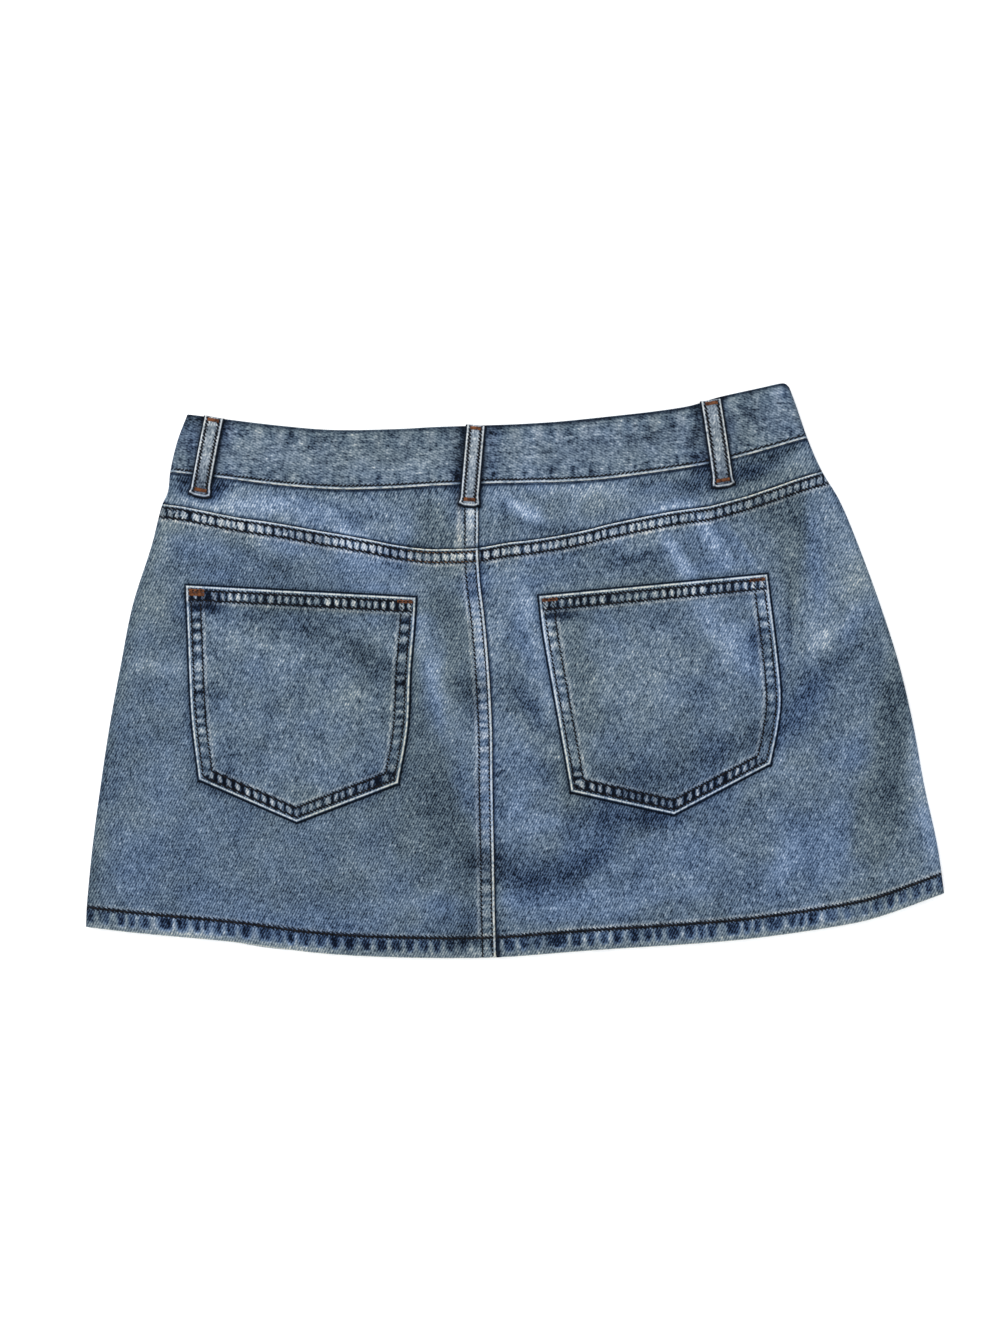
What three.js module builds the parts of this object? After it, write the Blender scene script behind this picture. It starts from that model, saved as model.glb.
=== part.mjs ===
// A denim mini skirt, laid flat with its back up.
// Millimetres, +Z up. The origin is on the surface it lies on, under the middle of its outline.
// +X runs across the skirt to the wearer's right and +Y runs from the hem to the waist.
import * as THREE from 'three';

// Cloth
const PLY = 1.2;
const BAND_THICKNESS = 2;
const LOOP_THICKNESS = 1.8;
const SEAM_GAP = 0.3;
const LAYER_GAP = 0.3;
const POCKET_GAP = 0.4;

// Sewing
const YOKE_STRIP = 9;
const CENTRE_STRIP = 9.5;
const HEM_DEPTH = 12;
const POCKET_HEM = 14;
const STEP_RUN = 1;

// How the skirt lies
const FOLD_RADIUS = 3;
const FOLD_HEIGHT = 2 * FOLD_RADIUS + SEAM_GAP;
const FOLD_REACH = 38;
const FOLD_STEPS = 3;
const BACK_CELLS = 19;
const POCKET_CELLS = 7;
const LOFT = 0.7;
const LOFT_MIN = 0.1;
const LOFT_MAX = 3.2;

// Front, which is hidden under the back
const FRONT_DROP = 18;
const FRONT_HALF_WIDTH = 200;
const FRONT_HEM_PEEK = { x: -166, halfWidth: 30, depth: 1.2 };
const LAP_EDGE = -8;
const LAP_UNDER = 30;
const LAP_RUN = 26;
const FLY_CELL = 8;
const FLY_HALF_WIDTH = 3 * FLY_CELL;
const FLY_TOP = 16;
const FLY_LENGTH = 90;
const ZIP_HALF_WIDTH = 2 * FLY_CELL;
const ZIP_THICKNESS = 1;
const STACK_RUN = 22;

// Waist button
const BUTTON_RADIUS = 8.5;
const BUTTON_HEIGHT = 1.5;
const BUTTON_RIM = 0.4;
const BUTTON_X = -18;
const BUTTON_Y = 131;
const BUTTON_LIFT = BUTTON_HEIGHT + LAYER_GAP;
const BUTTON_REACH = 40;
const WAIST_LIFT_RUN = 28;

// Belt loops
const LOOP_BOW = 2;

// Rows of named columns
function table(names, ...rows) {
  const keys = names.split(' ');
  return rows.map((row) => Object.fromEntries(keys.map((key, index) => [key, row[index]])));
}

// Edges and seams, each a few places that the cloth's edge passes through
const WAIST_EDGE = table('x y',
  [-202.2, 181.7], [-138.4, 171.2], [-101.8, 167], [-40, 165.9], [22.9, 165.6],
  [74.8, 168.1], [126.8, 172.4], [150.4, 178], [179.1, 183], [195.4, 185.2]);
const BAND_SEAM = table('x y',
  [-214.9, 144.3], [-184, 139.6], [-140.1, 133], [-103.5, 128.8], [-50, 128.4],
  [-8.2, 127.6], [24.6, 126.9], [73, 128], [124.9, 133], [156.3, 137.5], [206.8, 148.8]);
const YOKE_SEAM = table('x y',
  [-220.9, 123.2], [-193.8, 118.4], [-153, 109.2], [-104.8, 97.5], [-68.3, 88.8],
  [-39, 85], [-14.1, 84.2], [19.5, 88.9], [71.6, 96.1], [123.8, 103.4], [176.2, 115.7], [214.6, 125.3]);
const HEM_EDGE = table('x y',
  [-284, -152.9], [-252.5, -158.2], [-189.5, -166.9], [-126.5, -177.6], [-63.4, -183.2],
  [-13.2, -185.2], [47.6, -183.2], [142.9, -180.7], [206.5, -174.9], [238.5, -169.7], [284, -155.4]);
const LEFT_SIDE = table('x y',
  [-284, -152.9], [-282.7, -139], [-277.1, -99.7], [-270.1, -60.3], [-262.4, -21], [-253.4, 18.2],
  [-243.8, 57.4], [-229.5, 96.5], [-220.5, 127.8], [-215.5, 145.4], [-209.4, 164.9], [-202.2, 181.7]);
const RIGHT_SIDE = table('x y',
  [284, -155.2], [280.8, -124], [273.9, -84.1], [268.4, -44.2], [260.9, -4.2], [250.1, 35.9],
  [237.3, 76.1], [226.1, 106.3], [215.1, 126.6], [206.8, 148.1], [200.1, 170.6], [195.4, 185.2]);
const CENTRE_SEAM = table('x y',
  [-13.1, -185], [-12.8, -85], [-10.4, -26], [-11, 3], [-14, 70], [-12.1, 127.9]);

// Patch pockets: both side edges from the bottom corner up, the tip, and the top corners
const POCKETS = {
  left: {
    left: table('x y', [-203.8, -58.3], [-207.1, -17.5], [-206.8, 41.3], [-207.1, 69.1]),
    right: table('x y', [-74.3, -65.5], [-66.2, -31.2], [-62.4, 5.5], [-58.1, 34.8], [-56.5, 54.7]),
    tip: { x: -141.7, y: -89.5 },
  },
  right: {
    left: table('x y', [41.9, -77.4], [38.2, -51.1], [32.2, -12.1], [27.1, 26.9], [25.2, 51.2]),
    right: table('x y', [171.3, -64.7], [177.1, -43.5], [180.7, -24.4], [180, 0.8], [174.8, 58.3]),
    tip: { x: 108.9, y: -95.3 },
  },
};

// Belt loops: the middle of the top end and of the bottom end, and the width
const LOOPS = table('name topX topY bottomX bottomY width',
  ['left', -184.2, 178.8, -196.3, 127.9, 12.8],
  ['centre', -11.8, 165.6, -18.5, 113.4, 12],
  ['right', 143.8, 175.8, 150, 119.2, 13.2]);

// The largest folds of the upper layer: middle, direction of length, half length, half width, rise
const FOLDS = table('x y turn length width rise',
  [205, -22, 32, 75, 20, -0.8],
  [222, -72, 38, 60, 26, 1.1],
  [214, 34, 66, 55, 19, 1.1],
  [80, -112, 22, 48, 18, -0.7],
  [14, -88, 84, 62, 15, 1],
  [-42, -18, 106, 72, 17, 1.1],
  [-60, -108, 98, 44, 20, -0.7],
  [-236, -78, 62, 58, 20, 1],
  [-176, -128, 12, 50, 17, 0.8],
  [104, -142, 8, 60, 15, 0.9],
  [-140, 82, -14, 46, 10, 0.7],
  [112, 84, 12, 46, 10, 0.7]);

const clamp = (value, low, high) => Math.min(high, Math.max(low, value));
const mix = (a, b, share) => a + (b - a) * share;

// 0 before start, 1 past end, smooth between
function ease(start, end, value) {
  const share = clamp((value - start) / (end - start), 0, 1);
  return share * share * (3 - 2 * share);
}

// A smooth line through a table's rows that goes straight on past its ends
function lineThrough(rows, from, to) {
  const last = rows.length - 1;
  const slopes = rows.map((row, index) => {
    const before = rows[Math.max(index - 1, 0)];
    const after = rows[Math.min(index + 1, last)];
    return (after[to] - before[to]) / (after[from] - before[from]);
  });
  return (value) => {
    let index = 0;
    while (index < last - 1 && value > rows[index + 1][from]) index += 1;
    const [start, end] = [rows[index], rows[index + 1]];
    const span = end[from] - start[from];
    const share = (value - start[from]) / span;
    if (share < 0) return start[to] + slopes[index] * (value - start[from]);
    if (share > 1) return end[to] + slopes[index + 1] * (value - end[from]);
    const blend = share * share * (3 - 2 * share);
    const lead = span * share * (1 - share) * (1 - share) * slopes[index];
    const trail = span * share * share * (share - 1) * slopes[index + 1];
    return mix(start[to], end[to], blend) + lead + trail;
  };
}

const waistEdge = lineThrough(WAIST_EDGE, 'x', 'y');
const bandSeam = lineThrough(BAND_SEAM, 'x', 'y');
const yokeSeam = lineThrough(YOKE_SEAM, 'x', 'y');
const hemEdge = lineThrough(HEM_EDGE, 'x', 'y');
const leftSide = lineThrough(LEFT_SIDE, 'y', 'x');
const rightSide = lineThrough(RIGHT_SIDE, 'y', 'x');
const centreSeam = lineThrough(CENTRE_SEAM, 'y', 'x');

// Front edges: the front waist hangs lower than the back's and meets it at the sides
const frontDrop = (x) => FRONT_DROP * Math.max(0, 1 - (x / FRONT_HALF_WIDTH) ** 2);
const frontWaist = (x) => waistEdge(x) - frontDrop(x);
const frontBandSeam = (x) => bandSeam(x) - frontDrop(x);
const frontHem = (x) => {
  const away = Math.abs(x - FRONT_HEM_PEEK.x) / FRONT_HEM_PEEK.halfWidth;
  return hemEdge(x) - FRONT_HEM_PEEK.depth * (1 - ease(0, 1, away));
};

// How far inside the nearer side edge a place is
function insideSide(x, y) {
  return Math.min(x - leftSide(y), rightSide(y) - x);
}

// Lift of the waist's front round the button, which the skirt lies on
function buttonLift(x, y) {
  const across = 1 - ease(BUTTON_RADIUS + 4, BUTTON_REACH, Math.abs(x - BUTTON_X));
  const along = ease(-WAIST_LIFT_RUN, 0, y - frontBandSeam(x));
  return BUTTON_LIFT * across * along;
}

// Lift of the right front where it passes under the left front's lap
function lapLift(x, y) {
  const across = 1 - ease(LAP_EDGE + 2, LAP_EDGE + LAP_RUN, x);
  const along = ease(-WAIST_LIFT_RUN, 0, y - frontBandSeam(x));
  return (BAND_THICKNESS + LAYER_GAP) * across * along;
}

// Highest that the lower layer reaches at a place, as a smooth cover over it
function lowerStack(x, y) {
  const hem = PLY * (1 - ease(HEM_DEPTH + 2, HEM_DEPTH + STACK_RUN, y - hemEdge(x)));
  const band = (BAND_THICKNESS - PLY) * ease(-STACK_RUN, -2, y - frontBandSeam(x));
  const fly = (ZIP_THICKNESS + PLY + 2 * LAYER_GAP)
    * (1 - ease(FLY_HALF_WIDTH + 2, FLY_HALF_WIDTH + STACK_RUN, Math.abs(x - LAP_EDGE)))
    * ease(-STACK_RUN, -2, y - frontBandSeam(x) + FLY_TOP + FLY_LENGTH)
    * (1 - ease(0, STACK_RUN, y - frontBandSeam(x) + FLY_TOP));
  const lap = (BAND_THICKNESS + LAYER_GAP)
    * (1 - ease(LAP_UNDER + 2, LAP_UNDER + STACK_RUN, Math.abs(x - LAP_EDGE)))
    * ease(-WAIST_LIFT_RUN, -2, y - frontBandSeam(x));
  return PLY + hem + band + fly + lap + buttonLift(x, y);
}

// Soft folds of the upper layer
function foldRise(x, y) {
  let rise = LOFT;
  for (const fold of FOLDS) {
    const turn = THREE.MathUtils.degToRad(fold.turn);
    const along = (x - fold.x) * Math.cos(turn) + (y - fold.y) * Math.sin(turn);
    const across = (y - fold.y) * Math.cos(turn) - (x - fold.x) * Math.sin(turn);
    rise += fold.rise * Math.exp(-((along / fold.length) ** 2) - (across / fold.width) ** 2);
  }
  return clamp(rise, LOFT_MIN, LOFT_MAX);
}

// Underside of the upper layer, for cloth of a given thickness
function upperUnder(x, y, thickness) {
  const flat = lowerStack(x, y) + LAYER_GAP + foldRise(x, y);
  const towardsSide = 1 - ease(FOLD_RADIUS, FOLD_REACH, insideSide(x, y));
  return mix(flat, FOLD_HEIGHT - thickness, towardsSide);
}

const upperTop = (x, y, thickness) => upperUnder(x, y, thickness) + thickness;

// 1 inside a strip along an edge, running out to 0 past its depth
const strip = (fromEdge, depth) => 1 - clamp((fromEdge - depth) / STEP_RUN, 0, 1);

function panelThickness(x, y) {
  const hem = strip(y - hemEdge(x), HEM_DEPTH);
  const yoke = strip(yokeSeam(x) - y, YOKE_STRIP);
  const centre = x < centreSeam(y) ? strip(centreSeam(y) - x, CENTRE_STRIP) : 0;
  return PLY + PLY * Math.max(hem, yoke, centre);
}

function yokeThickness(x, y) {
  const centre = x < centreSeam(y) ? strip(centreSeam(y) - x, CENTRE_STRIP) : 0;
  return PLY + PLY * centre;
}

const bandThickness = () => BAND_THICKNESS;
const frontThickness = (x, y) => PLY + PLY * strip(y - frontHem(x), HEM_DEPTH);

// A station places a row or column between two edges: so far past the first, or short of the
// second, or a share of the way between. A turn is its angle round the side fold.
const pastFirst = (...offsets) => offsets.map((near) => ({ near, far: 0, share: 0, turn: 0 }));
const beforeSecond = (...offsets) => offsets.map((far) => ({ near: 0, far, share: 1, turn: 0 }));

function between(near, far, cells, firstShare = 0, lastShare = 1) {
  const inner = [];
  for (let index = 1; index < cells; index += 1) {
    inner.push({ near, far, share: mix(firstShare, lastShare, index / cells), turn: 0 });
  }
  return inner;
}

function foldTurns() {
  const turns = [];
  for (let index = 1; index <= FOLD_STEPS; index += 1) {
    turns.push({ near: 0, far: 0, share: 1, turn: (index / FOLD_STEPS) * Math.PI / 2 });
  }
  return turns;
}

// The same stations read from the other edge
const mirrored = (stations) => stations
  .map(({ near, far, share, turn }) => ({ near: far, far: near, share: 1 - share, turn }))
  .reverse();

function stationValue(station, low, high, foldOffset) {
  const near = station.turn && station.share === 0 ? foldOffset : station.near;
  const far = station.turn && station.share === 1 ? foldOffset : station.far;
  return mix(low + near, high - far, station.share);
}

// The plan place of a column and row between a piece's four edges
function planPlace(edges, column, row, foldOffset) {
  let y = (edges.bottom(0) + edges.top(0)) / 2;
  let x = 0;
  for (let step = 0; step < 6; step += 1) {
    x = stationValue(column, edges.left(y), edges.right(y), foldOffset);
    y = stationValue(row, edges.bottom(x), edges.top(x), 0);
  }
  return { x, y };
}

// A closed body between an outer and an inner grid of points, which share their rim
function closedWall(outer, inner) {
  const rows = outer.length;
  const columns = outer[0].length;
  const positions = [...outer.flat(), ...inner.flat()].flatMap(({ x, y, z }) => [x, y, z]);
  const triangles = [];
  const at = (layer, row, column) => layer * rows * columns + row * columns + column;
  const quad = (a, b, c, d) => triangles.push(a, b, c, a, c, d);
  for (let row = 0; row < rows - 1; row += 1) {
    for (let column = 0; column < columns - 1; column += 1) {
      quad(at(0, row, column), at(0, row, column + 1), at(0, row + 1, column + 1), at(0, row + 1, column));
      quad(at(1, row, column), at(1, row + 1, column), at(1, row + 1, column + 1), at(1, row, column + 1));
    }
  }
  for (let row = 0; row < rows - 1; row += 1) {
    const end = columns - 1;
    quad(at(0, row, 0), at(0, row + 1, 0), at(1, row + 1, 0), at(1, row, 0));
    quad(at(0, row, end), at(1, row, end), at(1, row + 1, end), at(0, row + 1, end));
  }
  for (let column = 0; column < columns - 1; column += 1) {
    const end = rows - 1;
    quad(at(0, 0, column), at(1, 0, column), at(1, 0, column + 1), at(0, 0, column + 1));
    quad(at(0, end, column), at(0, end, column + 1), at(1, end, column + 1), at(1, end, column));
  }
  return { positions, triangles };
}

// A geometry from a closed body, with its faces turned outwards
function outwardGeometry({ positions, triangles }) {
  let volume = 0;
  const point = (index) => new THREE.Vector3().fromArray(positions, 3 * index);
  for (let index = 0; index < triangles.length; index += 3) {
    const [a, b, c] = [0, 1, 2].map((corner) => point(triangles[index + corner]));
    volume += a.dot(b.cross(c));
  }
  if (volume < 0) triangles.reverse();
  const geometry = new THREE.BufferGeometry();
  geometry.setAttribute('position', new THREE.Float32BufferAttribute(positions, 3));
  geometry.setIndex(triangles);
  geometry.computeVertexNormals();
  return geometry;
}

// How each layer stands, away from its side fold and round it
const upperLayer = {
  flat: (x, y, thickness, inside) => upperUnder(x, y, thickness) + (inside ? 0 : thickness),
  turned: (radius, turn) => FOLD_HEIGHT - FOLD_RADIUS + radius * Math.cos(turn),
};
const lowerLayer = (liftAt) => ({
  flat: (x, y, thickness, inside) => liftAt(x, y) + (inside ? thickness : 0),
  turned: (radius, turn) => FOLD_RADIUS - radius * Math.cos(turn),
});

// A wall of one layer, which curls round towards the other layer at a side fold
function foldedWall(edges, columns, rows, thicknessAt, layer) {
  const grid = (inside) => rows.map((row) => columns.map((column) => {
    const flat = planPlace(edges, column, row, FOLD_RADIUS);
    const thickness = thicknessAt(flat.x, flat.y);
    const radius = FOLD_RADIUS - (inside ? thickness : 0);
    const place = planPlace(edges, column, row, FOLD_RADIUS - radius * Math.sin(column.turn));
    const z = column.turn
      ? layer.turned(radius, column.turn)
      : layer.flat(place.x, place.y, thickness, inside);
    return { ...place, z };
  }));
  return outwardGeometry(closedWall(grid(false), grid(true)));
}

// A piece laid on another, a gap above what is under it
function laidWall(edges, columns, rows, underAt, thicknessAt) {
  const grid = (upper) => rows.map((row) => columns.map((column) => {
    const place = planPlace(edges, column, row, 0);
    const under = underAt(place.x, place.y);
    return { ...place, z: under + (upper ? thicknessAt(place.x, place.y) : 0) };
  }));
  return outwardGeometry(closedWall(grid(true), grid(false)));
}

// Materials
const denim = (colour, roughness = 0.95) => new THREE.MeshStandardMaterial({
  color: colour, roughness, metalness: 0, side: THREE.FrontSide,
});
const panelDenim = () => denim(0x5f7390);
const bandDenim = () => denim(0x5a6c86);
const trimDenim = () => denim(0x7d8794);
const zipTape = () => denim(0x39465c, 0.8);
const brass = () => new THREE.MeshStandardMaterial({ color: 0x9c6b45, roughness: 0.35, metalness: 1 });

function piece(name, geometry, material) {
  const mesh = new THREE.Mesh(geometry, material);
  mesh.name = name;
  return mesh;
}

const HALF_SEAM = SEAM_GAP / 2;

// Columns towards a side fold and round it
const sideColumns = () => [...beforeSecond(FOLD_REACH, 24, 12, FOLD_RADIUS), ...foldTurns()];

// Columns of a back piece from the centre seam out to the right side fold
const rightColumns = () => [
  ...pastFirst(HALF_SEAM), ...between(HALF_SEAM, FOLD_REACH, BACK_CELLS), ...sideColumns(),
];

// Columns of a back piece from the left side fold in to the centre seam, with its felled strip
const leftColumns = () => [
  ...mirrored(sideColumns()), ...between(FOLD_REACH, CENTRE_STRIP + STEP_RUN, BACK_CELLS),
  ...beforeSecond(CENTRE_STRIP + STEP_RUN, CENTRE_STRIP, HALF_SEAM),
];

function backPanels() {
  const rows = [
    ...pastFirst(0, HEM_DEPTH, HEM_DEPTH + STEP_RUN),
    ...between(HEM_DEPTH + STEP_RUN, YOKE_STRIP + STEP_RUN, 20),
    ...beforeSecond(YOKE_STRIP + STEP_RUN, YOKE_STRIP, HALF_SEAM),
  ];
  const left = { left: leftSide, right: centreSeam, bottom: hemEdge, top: yokeSeam };
  const right = { left: centreSeam, right: rightSide, bottom: hemEdge, top: yokeSeam };
  const wall = (edges, columns) => foldedWall(edges, columns, rows, panelThickness, upperLayer);
  return [
    piece('back_panel_left', wall(left, leftColumns()), panelDenim()),
    piece('back_panel_right', wall(right, rightColumns()), panelDenim()),
  ];
}

function backYokes() {
  const rows = [...pastFirst(HALF_SEAM), ...between(HALF_SEAM, HALF_SEAM, 5), ...beforeSecond(HALF_SEAM)];
  const left = { left: leftSide, right: centreSeam, bottom: yokeSeam, top: bandSeam };
  const right = { left: centreSeam, right: rightSide, bottom: yokeSeam, top: bandSeam };
  const wall = (edges, columns) => foldedWall(edges, columns, rows, yokeThickness, upperLayer);
  return [
    piece('back_yoke_left', wall(left, leftColumns()), panelDenim()),
    piece('back_yoke_right', wall(right, rightColumns()), panelDenim()),
  ];
}

function waistbandBack() {
  const edges = { left: leftSide, right: rightSide, bottom: bandSeam, top: waistEdge };
  const columns = [
    ...mirrored(sideColumns()), ...between(FOLD_REACH, FOLD_REACH, 28), ...sideColumns(),
  ];
  const rows = [...pastFirst(HALF_SEAM), ...between(HALF_SEAM, 0, 4), ...beforeSecond(0)];
  return piece('waistband_back', foldedWall(edges, columns, rows, bandThickness, upperLayer), bandDenim());
}

// The line that a pocket's bottom edge follows: two straight runs that meet at its tip
function pocketBottom({ left, right, tip }) {
  const corner = (x) => (x < tip.x ? left[0] : right[0]);
  return (x) => mix(tip.y, corner(x).y, (x - tip.x) / (corner(x).x - tip.x));
}

function backPocket(name, pocket) {
  const [start, end] = [pocket.left.at(-1), pocket.right.at(-1)];
  const top = (x) => mix(start.y, end.y, (x - start.x) / (end.x - start.x));
  const edges = {
    left: lineThrough(pocket.left, 'y', 'x'),
    right: lineThrough(pocket.right, 'y', 'x'),
    bottom: pocketBottom(pocket),
    top,
  };
  const [low, high] = [edges.left(pocket.tip.y), edges.right(pocket.tip.y)];
  const tipShare = (pocket.tip.x - low) / (high - low);
  const columns = [
    ...pastFirst(0), ...between(0, 0, POCKET_CELLS, 0, tipShare),
    { near: 0, far: 0, share: tipShare, turn: 0 },
    ...between(0, 0, POCKET_CELLS, tipShare, 1), ...beforeSecond(0),
  ];
  const rows = [
    ...pastFirst(0), ...between(0, POCKET_HEM + STEP_RUN, 10),
    ...beforeSecond(POCKET_HEM + STEP_RUN, POCKET_HEM, 0),
  ];
  const under = (x, y) => upperTop(x, y, PLY) + POCKET_GAP;
  const thickness = (x, y) => PLY + PLY * strip(top(x) - y, POCKET_HEM);
  return piece(name, laidWall(edges, columns, rows, under, thickness), trimDenim());
}

// A belt loop bows clear of the band between its two sewn ends
function beltLoop({ name, topX, topY, bottomX, bottomY, width }) {
  const middle = (y) => mix(bottomX, topX, (y - bottomY) / (topY - bottomY));
  const slope = (topX - bottomX) / (topY - bottomY);
  const edges = {
    left: (y) => middle(y) - width / 2,
    right: (y) => middle(y) + width / 2,
    bottom: (x) => bottomY - slope * (x - bottomX),
    top: (x) => topY - slope * (x - topX),
  };
  const columns = [...pastFirst(0), ...between(0, 0, 3), ...beforeSecond(0)];
  const rows = [...pastFirst(0), ...between(0, 0, 12), ...beforeSecond(0)];
  const endThickness = Math.max(...[-1, 0, 1].map((side) => (
    yokeThickness(bottomX + side * width / 3, bottomY))));
  const under = (x, y) => {
    const share = clamp((y - bottomY) / (topY - bottomY), 0, 1);
    const below = mix(upperTop(x, y, endThickness), upperTop(x, y, BAND_THICKNESS), share);
    return below + LAYER_GAP + LOOP_BOW * Math.sin(Math.PI * share);
  };
  return piece(`belt_loop_${name}`, laidWall(edges, columns, rows, under, () => LOOP_THICKNESS), trimDenim());
}

// Columns of a front piece from near the fly's edge out to a side fold
const frontColumns = (start, before) => [
  ...pastFirst(before + start, ...[8, 16, 26, 40].map((offset) => before + offset)),
  ...between(before + 40, 24, 6), ...beforeSecond(24, FOLD_RADIUS), ...foldTurns(),
];

const rightFrontLift = (x, y) => buttonLift(x, y) + lapLift(x, y);

function frontPanels() {
  const rows = [
    ...pastFirst(0, HEM_DEPTH, HEM_DEPTH + STEP_RUN), ...between(HEM_DEPTH + STEP_RUN, 60, 5),
    ...beforeSecond(60, 40, 26, 12, HALF_SEAM),
  ];
  const columns = frontColumns(HALF_SEAM, 0);
  const left = { left: leftSide, right: () => LAP_EDGE, bottom: frontHem, top: frontBandSeam };
  const right = { left: () => LAP_EDGE, right: rightSide, bottom: frontHem, top: frontBandSeam };
  const leftWall = foldedWall(left, mirrored(columns), rows, frontThickness, lowerLayer(buttonLift));
  const rightWall = foldedWall(right, columns, rows, frontThickness, lowerLayer(rightFrontLift));
  return [
    piece('front_panel_left', leftWall, panelDenim()),
    piece('front_panel_right', rightWall, panelDenim()),
  ];
}

// The left front stretch laps over the right one, which goes on under it
function waistbandFront() {
  const rows = [...pastFirst(HALF_SEAM), ...between(HALF_SEAM, 0, 3), ...beforeSecond(0)];
  const underColumns = [...pastFirst(0, 8, 16, 24), ...frontColumns(0, LAP_UNDER)];
  const left = { left: leftSide, right: () => LAP_EDGE, bottom: frontBandSeam, top: frontWaist };
  const right = {
    left: () => LAP_EDGE - LAP_UNDER, right: rightSide, bottom: frontBandSeam, top: frontWaist,
  };
  const overColumns = mirrored(frontColumns(0, 0));
  const leftWall = foldedWall(left, overColumns, rows, bandThickness, lowerLayer(buttonLift));
  const rightWall = foldedWall(right, underColumns, rows, bandThickness, lowerLayer(rightFrontLift));
  return [
    piece('waistband_front_left', leftWall, bandDenim()),
    piece('waistband_front_right', rightWall, bandDenim()),
  ];
}

// The zip and the shield lie on the inside of the fly, one on the other
function flyPieces() {
  const strips = table('name halfWidth thickness below',
    ['fly_zip', ZIP_HALF_WIDTH, ZIP_THICKNESS, 0],
    ['fly_shield', FLY_HALF_WIDTH, PLY, ZIP_THICKNESS + LAYER_GAP]);
  return strips.map(({ name, halfWidth, thickness, below }) => {
    const edges = {
      left: () => LAP_EDGE - halfWidth,
      right: () => LAP_EDGE + halfWidth,
      bottom: (x) => frontBandSeam(x) - FLY_TOP - FLY_LENGTH,
      top: (x) => frontBandSeam(x) - FLY_TOP,
    };
    const columns = [
      ...pastFirst(0), ...between(0, 0, 2 * halfWidth / FLY_CELL), ...beforeSecond(0),
    ];
    const rows = [...pastFirst(0), ...between(0, 0, 8), ...beforeSecond(0)];
    const under = (x, y) => rightFrontLift(x, y) + PLY + LAYER_GAP + below;
    const material = name === 'fly_zip' ? zipTape() : panelDenim();
    return piece(name, laidWall(edges, columns, rows, under, () => thickness), material);
  });
}

// A domed cap whose face lies down on the surface
function waistButton() {
  const profile = [
    new THREE.Vector2(0, 0),
    new THREE.Vector2(BUTTON_RADIUS - 4 * BUTTON_RIM, 0),
    new THREE.Vector2(BUTTON_RADIUS - BUTTON_RIM, BUTTON_RIM),
    new THREE.Vector2(BUTTON_RADIUS, BUTTON_HEIGHT / 2),
    new THREE.Vector2(BUTTON_RADIUS - BUTTON_RIM, BUTTON_HEIGHT - BUTTON_RIM),
    new THREE.Vector2(BUTTON_RADIUS / 2, BUTTON_HEIGHT),
    new THREE.Vector2(0, BUTTON_HEIGHT),
  ];
  const geometry = new THREE.LatheGeometry(profile, 24);
  geometry.rotateX(Math.PI / 2);
  const mesh = piece('waist_button', geometry, brass());
  mesh.position.set(BUTTON_X, BUTTON_Y, 0);
  return mesh;
}

const skirt = new THREE.Group();
skirt.add(...backPanels(), ...backYokes(), waistbandBack());
for (const [name, pocket] of Object.entries(POCKETS)) skirt.add(backPocket(`back_pocket_${name}`, pocket));
for (const loop of LOOPS) skirt.add(beltLoop(loop));
skirt.add(...frontPanels(), ...waistbandFront(), ...flyPieces(), waistButton());

export default skirt;
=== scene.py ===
import math

import bmesh
import bpy
import numpy as np
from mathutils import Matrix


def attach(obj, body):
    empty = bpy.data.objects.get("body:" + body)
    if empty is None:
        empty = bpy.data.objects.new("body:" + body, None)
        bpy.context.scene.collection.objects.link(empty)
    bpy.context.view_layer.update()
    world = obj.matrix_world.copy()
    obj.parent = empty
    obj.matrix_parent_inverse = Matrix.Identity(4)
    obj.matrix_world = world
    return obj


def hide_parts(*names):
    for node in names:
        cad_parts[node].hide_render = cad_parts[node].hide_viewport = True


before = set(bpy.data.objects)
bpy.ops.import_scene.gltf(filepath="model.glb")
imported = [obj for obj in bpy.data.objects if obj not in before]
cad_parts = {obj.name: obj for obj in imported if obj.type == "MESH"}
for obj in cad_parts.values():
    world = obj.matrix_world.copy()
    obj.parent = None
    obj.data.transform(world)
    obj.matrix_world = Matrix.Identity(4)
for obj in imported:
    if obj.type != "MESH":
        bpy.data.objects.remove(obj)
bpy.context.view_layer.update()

MM = 0.001

# Cloth
PLY = 1.2 * MM
BAND_THICKNESS = 2 * MM
LOOP_THICKNESS = 1.8 * MM
SEAM_GAP = 0.3 * MM
HALF_SEAM = SEAM_GAP / 2
LAYER_GAP = 0.3 * MM
POCKET_GAP = 0.4 * MM

# Sewing
YOKE_STRIP = 9.4 * MM
CENTRE_STRIP = 9.5 * MM
HEM_DEPTH = 13.2 * MM
POCKET_HEM = 10.6 * MM
STEP_RUN = 1 * MM
YOKE_ROWS = (2.3 * MM, 8.7 * MM)
CENTRE_ROWS = (2 * MM, 8.8 * MM)
HEM_ROW = 13.3 * MM
BAND_ROW = 2.3 * MM
POCKET_HEM_ROWS = (2.6 * MM, 8.9 * MM)
POCKET_SIDE_ROWS = (2.5 * MM, 8.8 * MM)
LOOP_ROW = 1.8 * MM
LOOP_FLARE = 0.9 * MM
LOOP_FLARE_RUN = 6 * MM
LOOP_ROUND = 1.2 * MM

# How the skirt lies
FOLD_RADIUS = 3 * MM
FOLD_HEIGHT = 2 * FOLD_RADIUS + SEAM_GAP
FOLD_REACH = 38 * MM
FOLD_STEPS = 6
LOFT = 0.7 * MM
LOFT_MIN = 0.1 * MM
LOFT_MAX = 3.2 * MM

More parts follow.
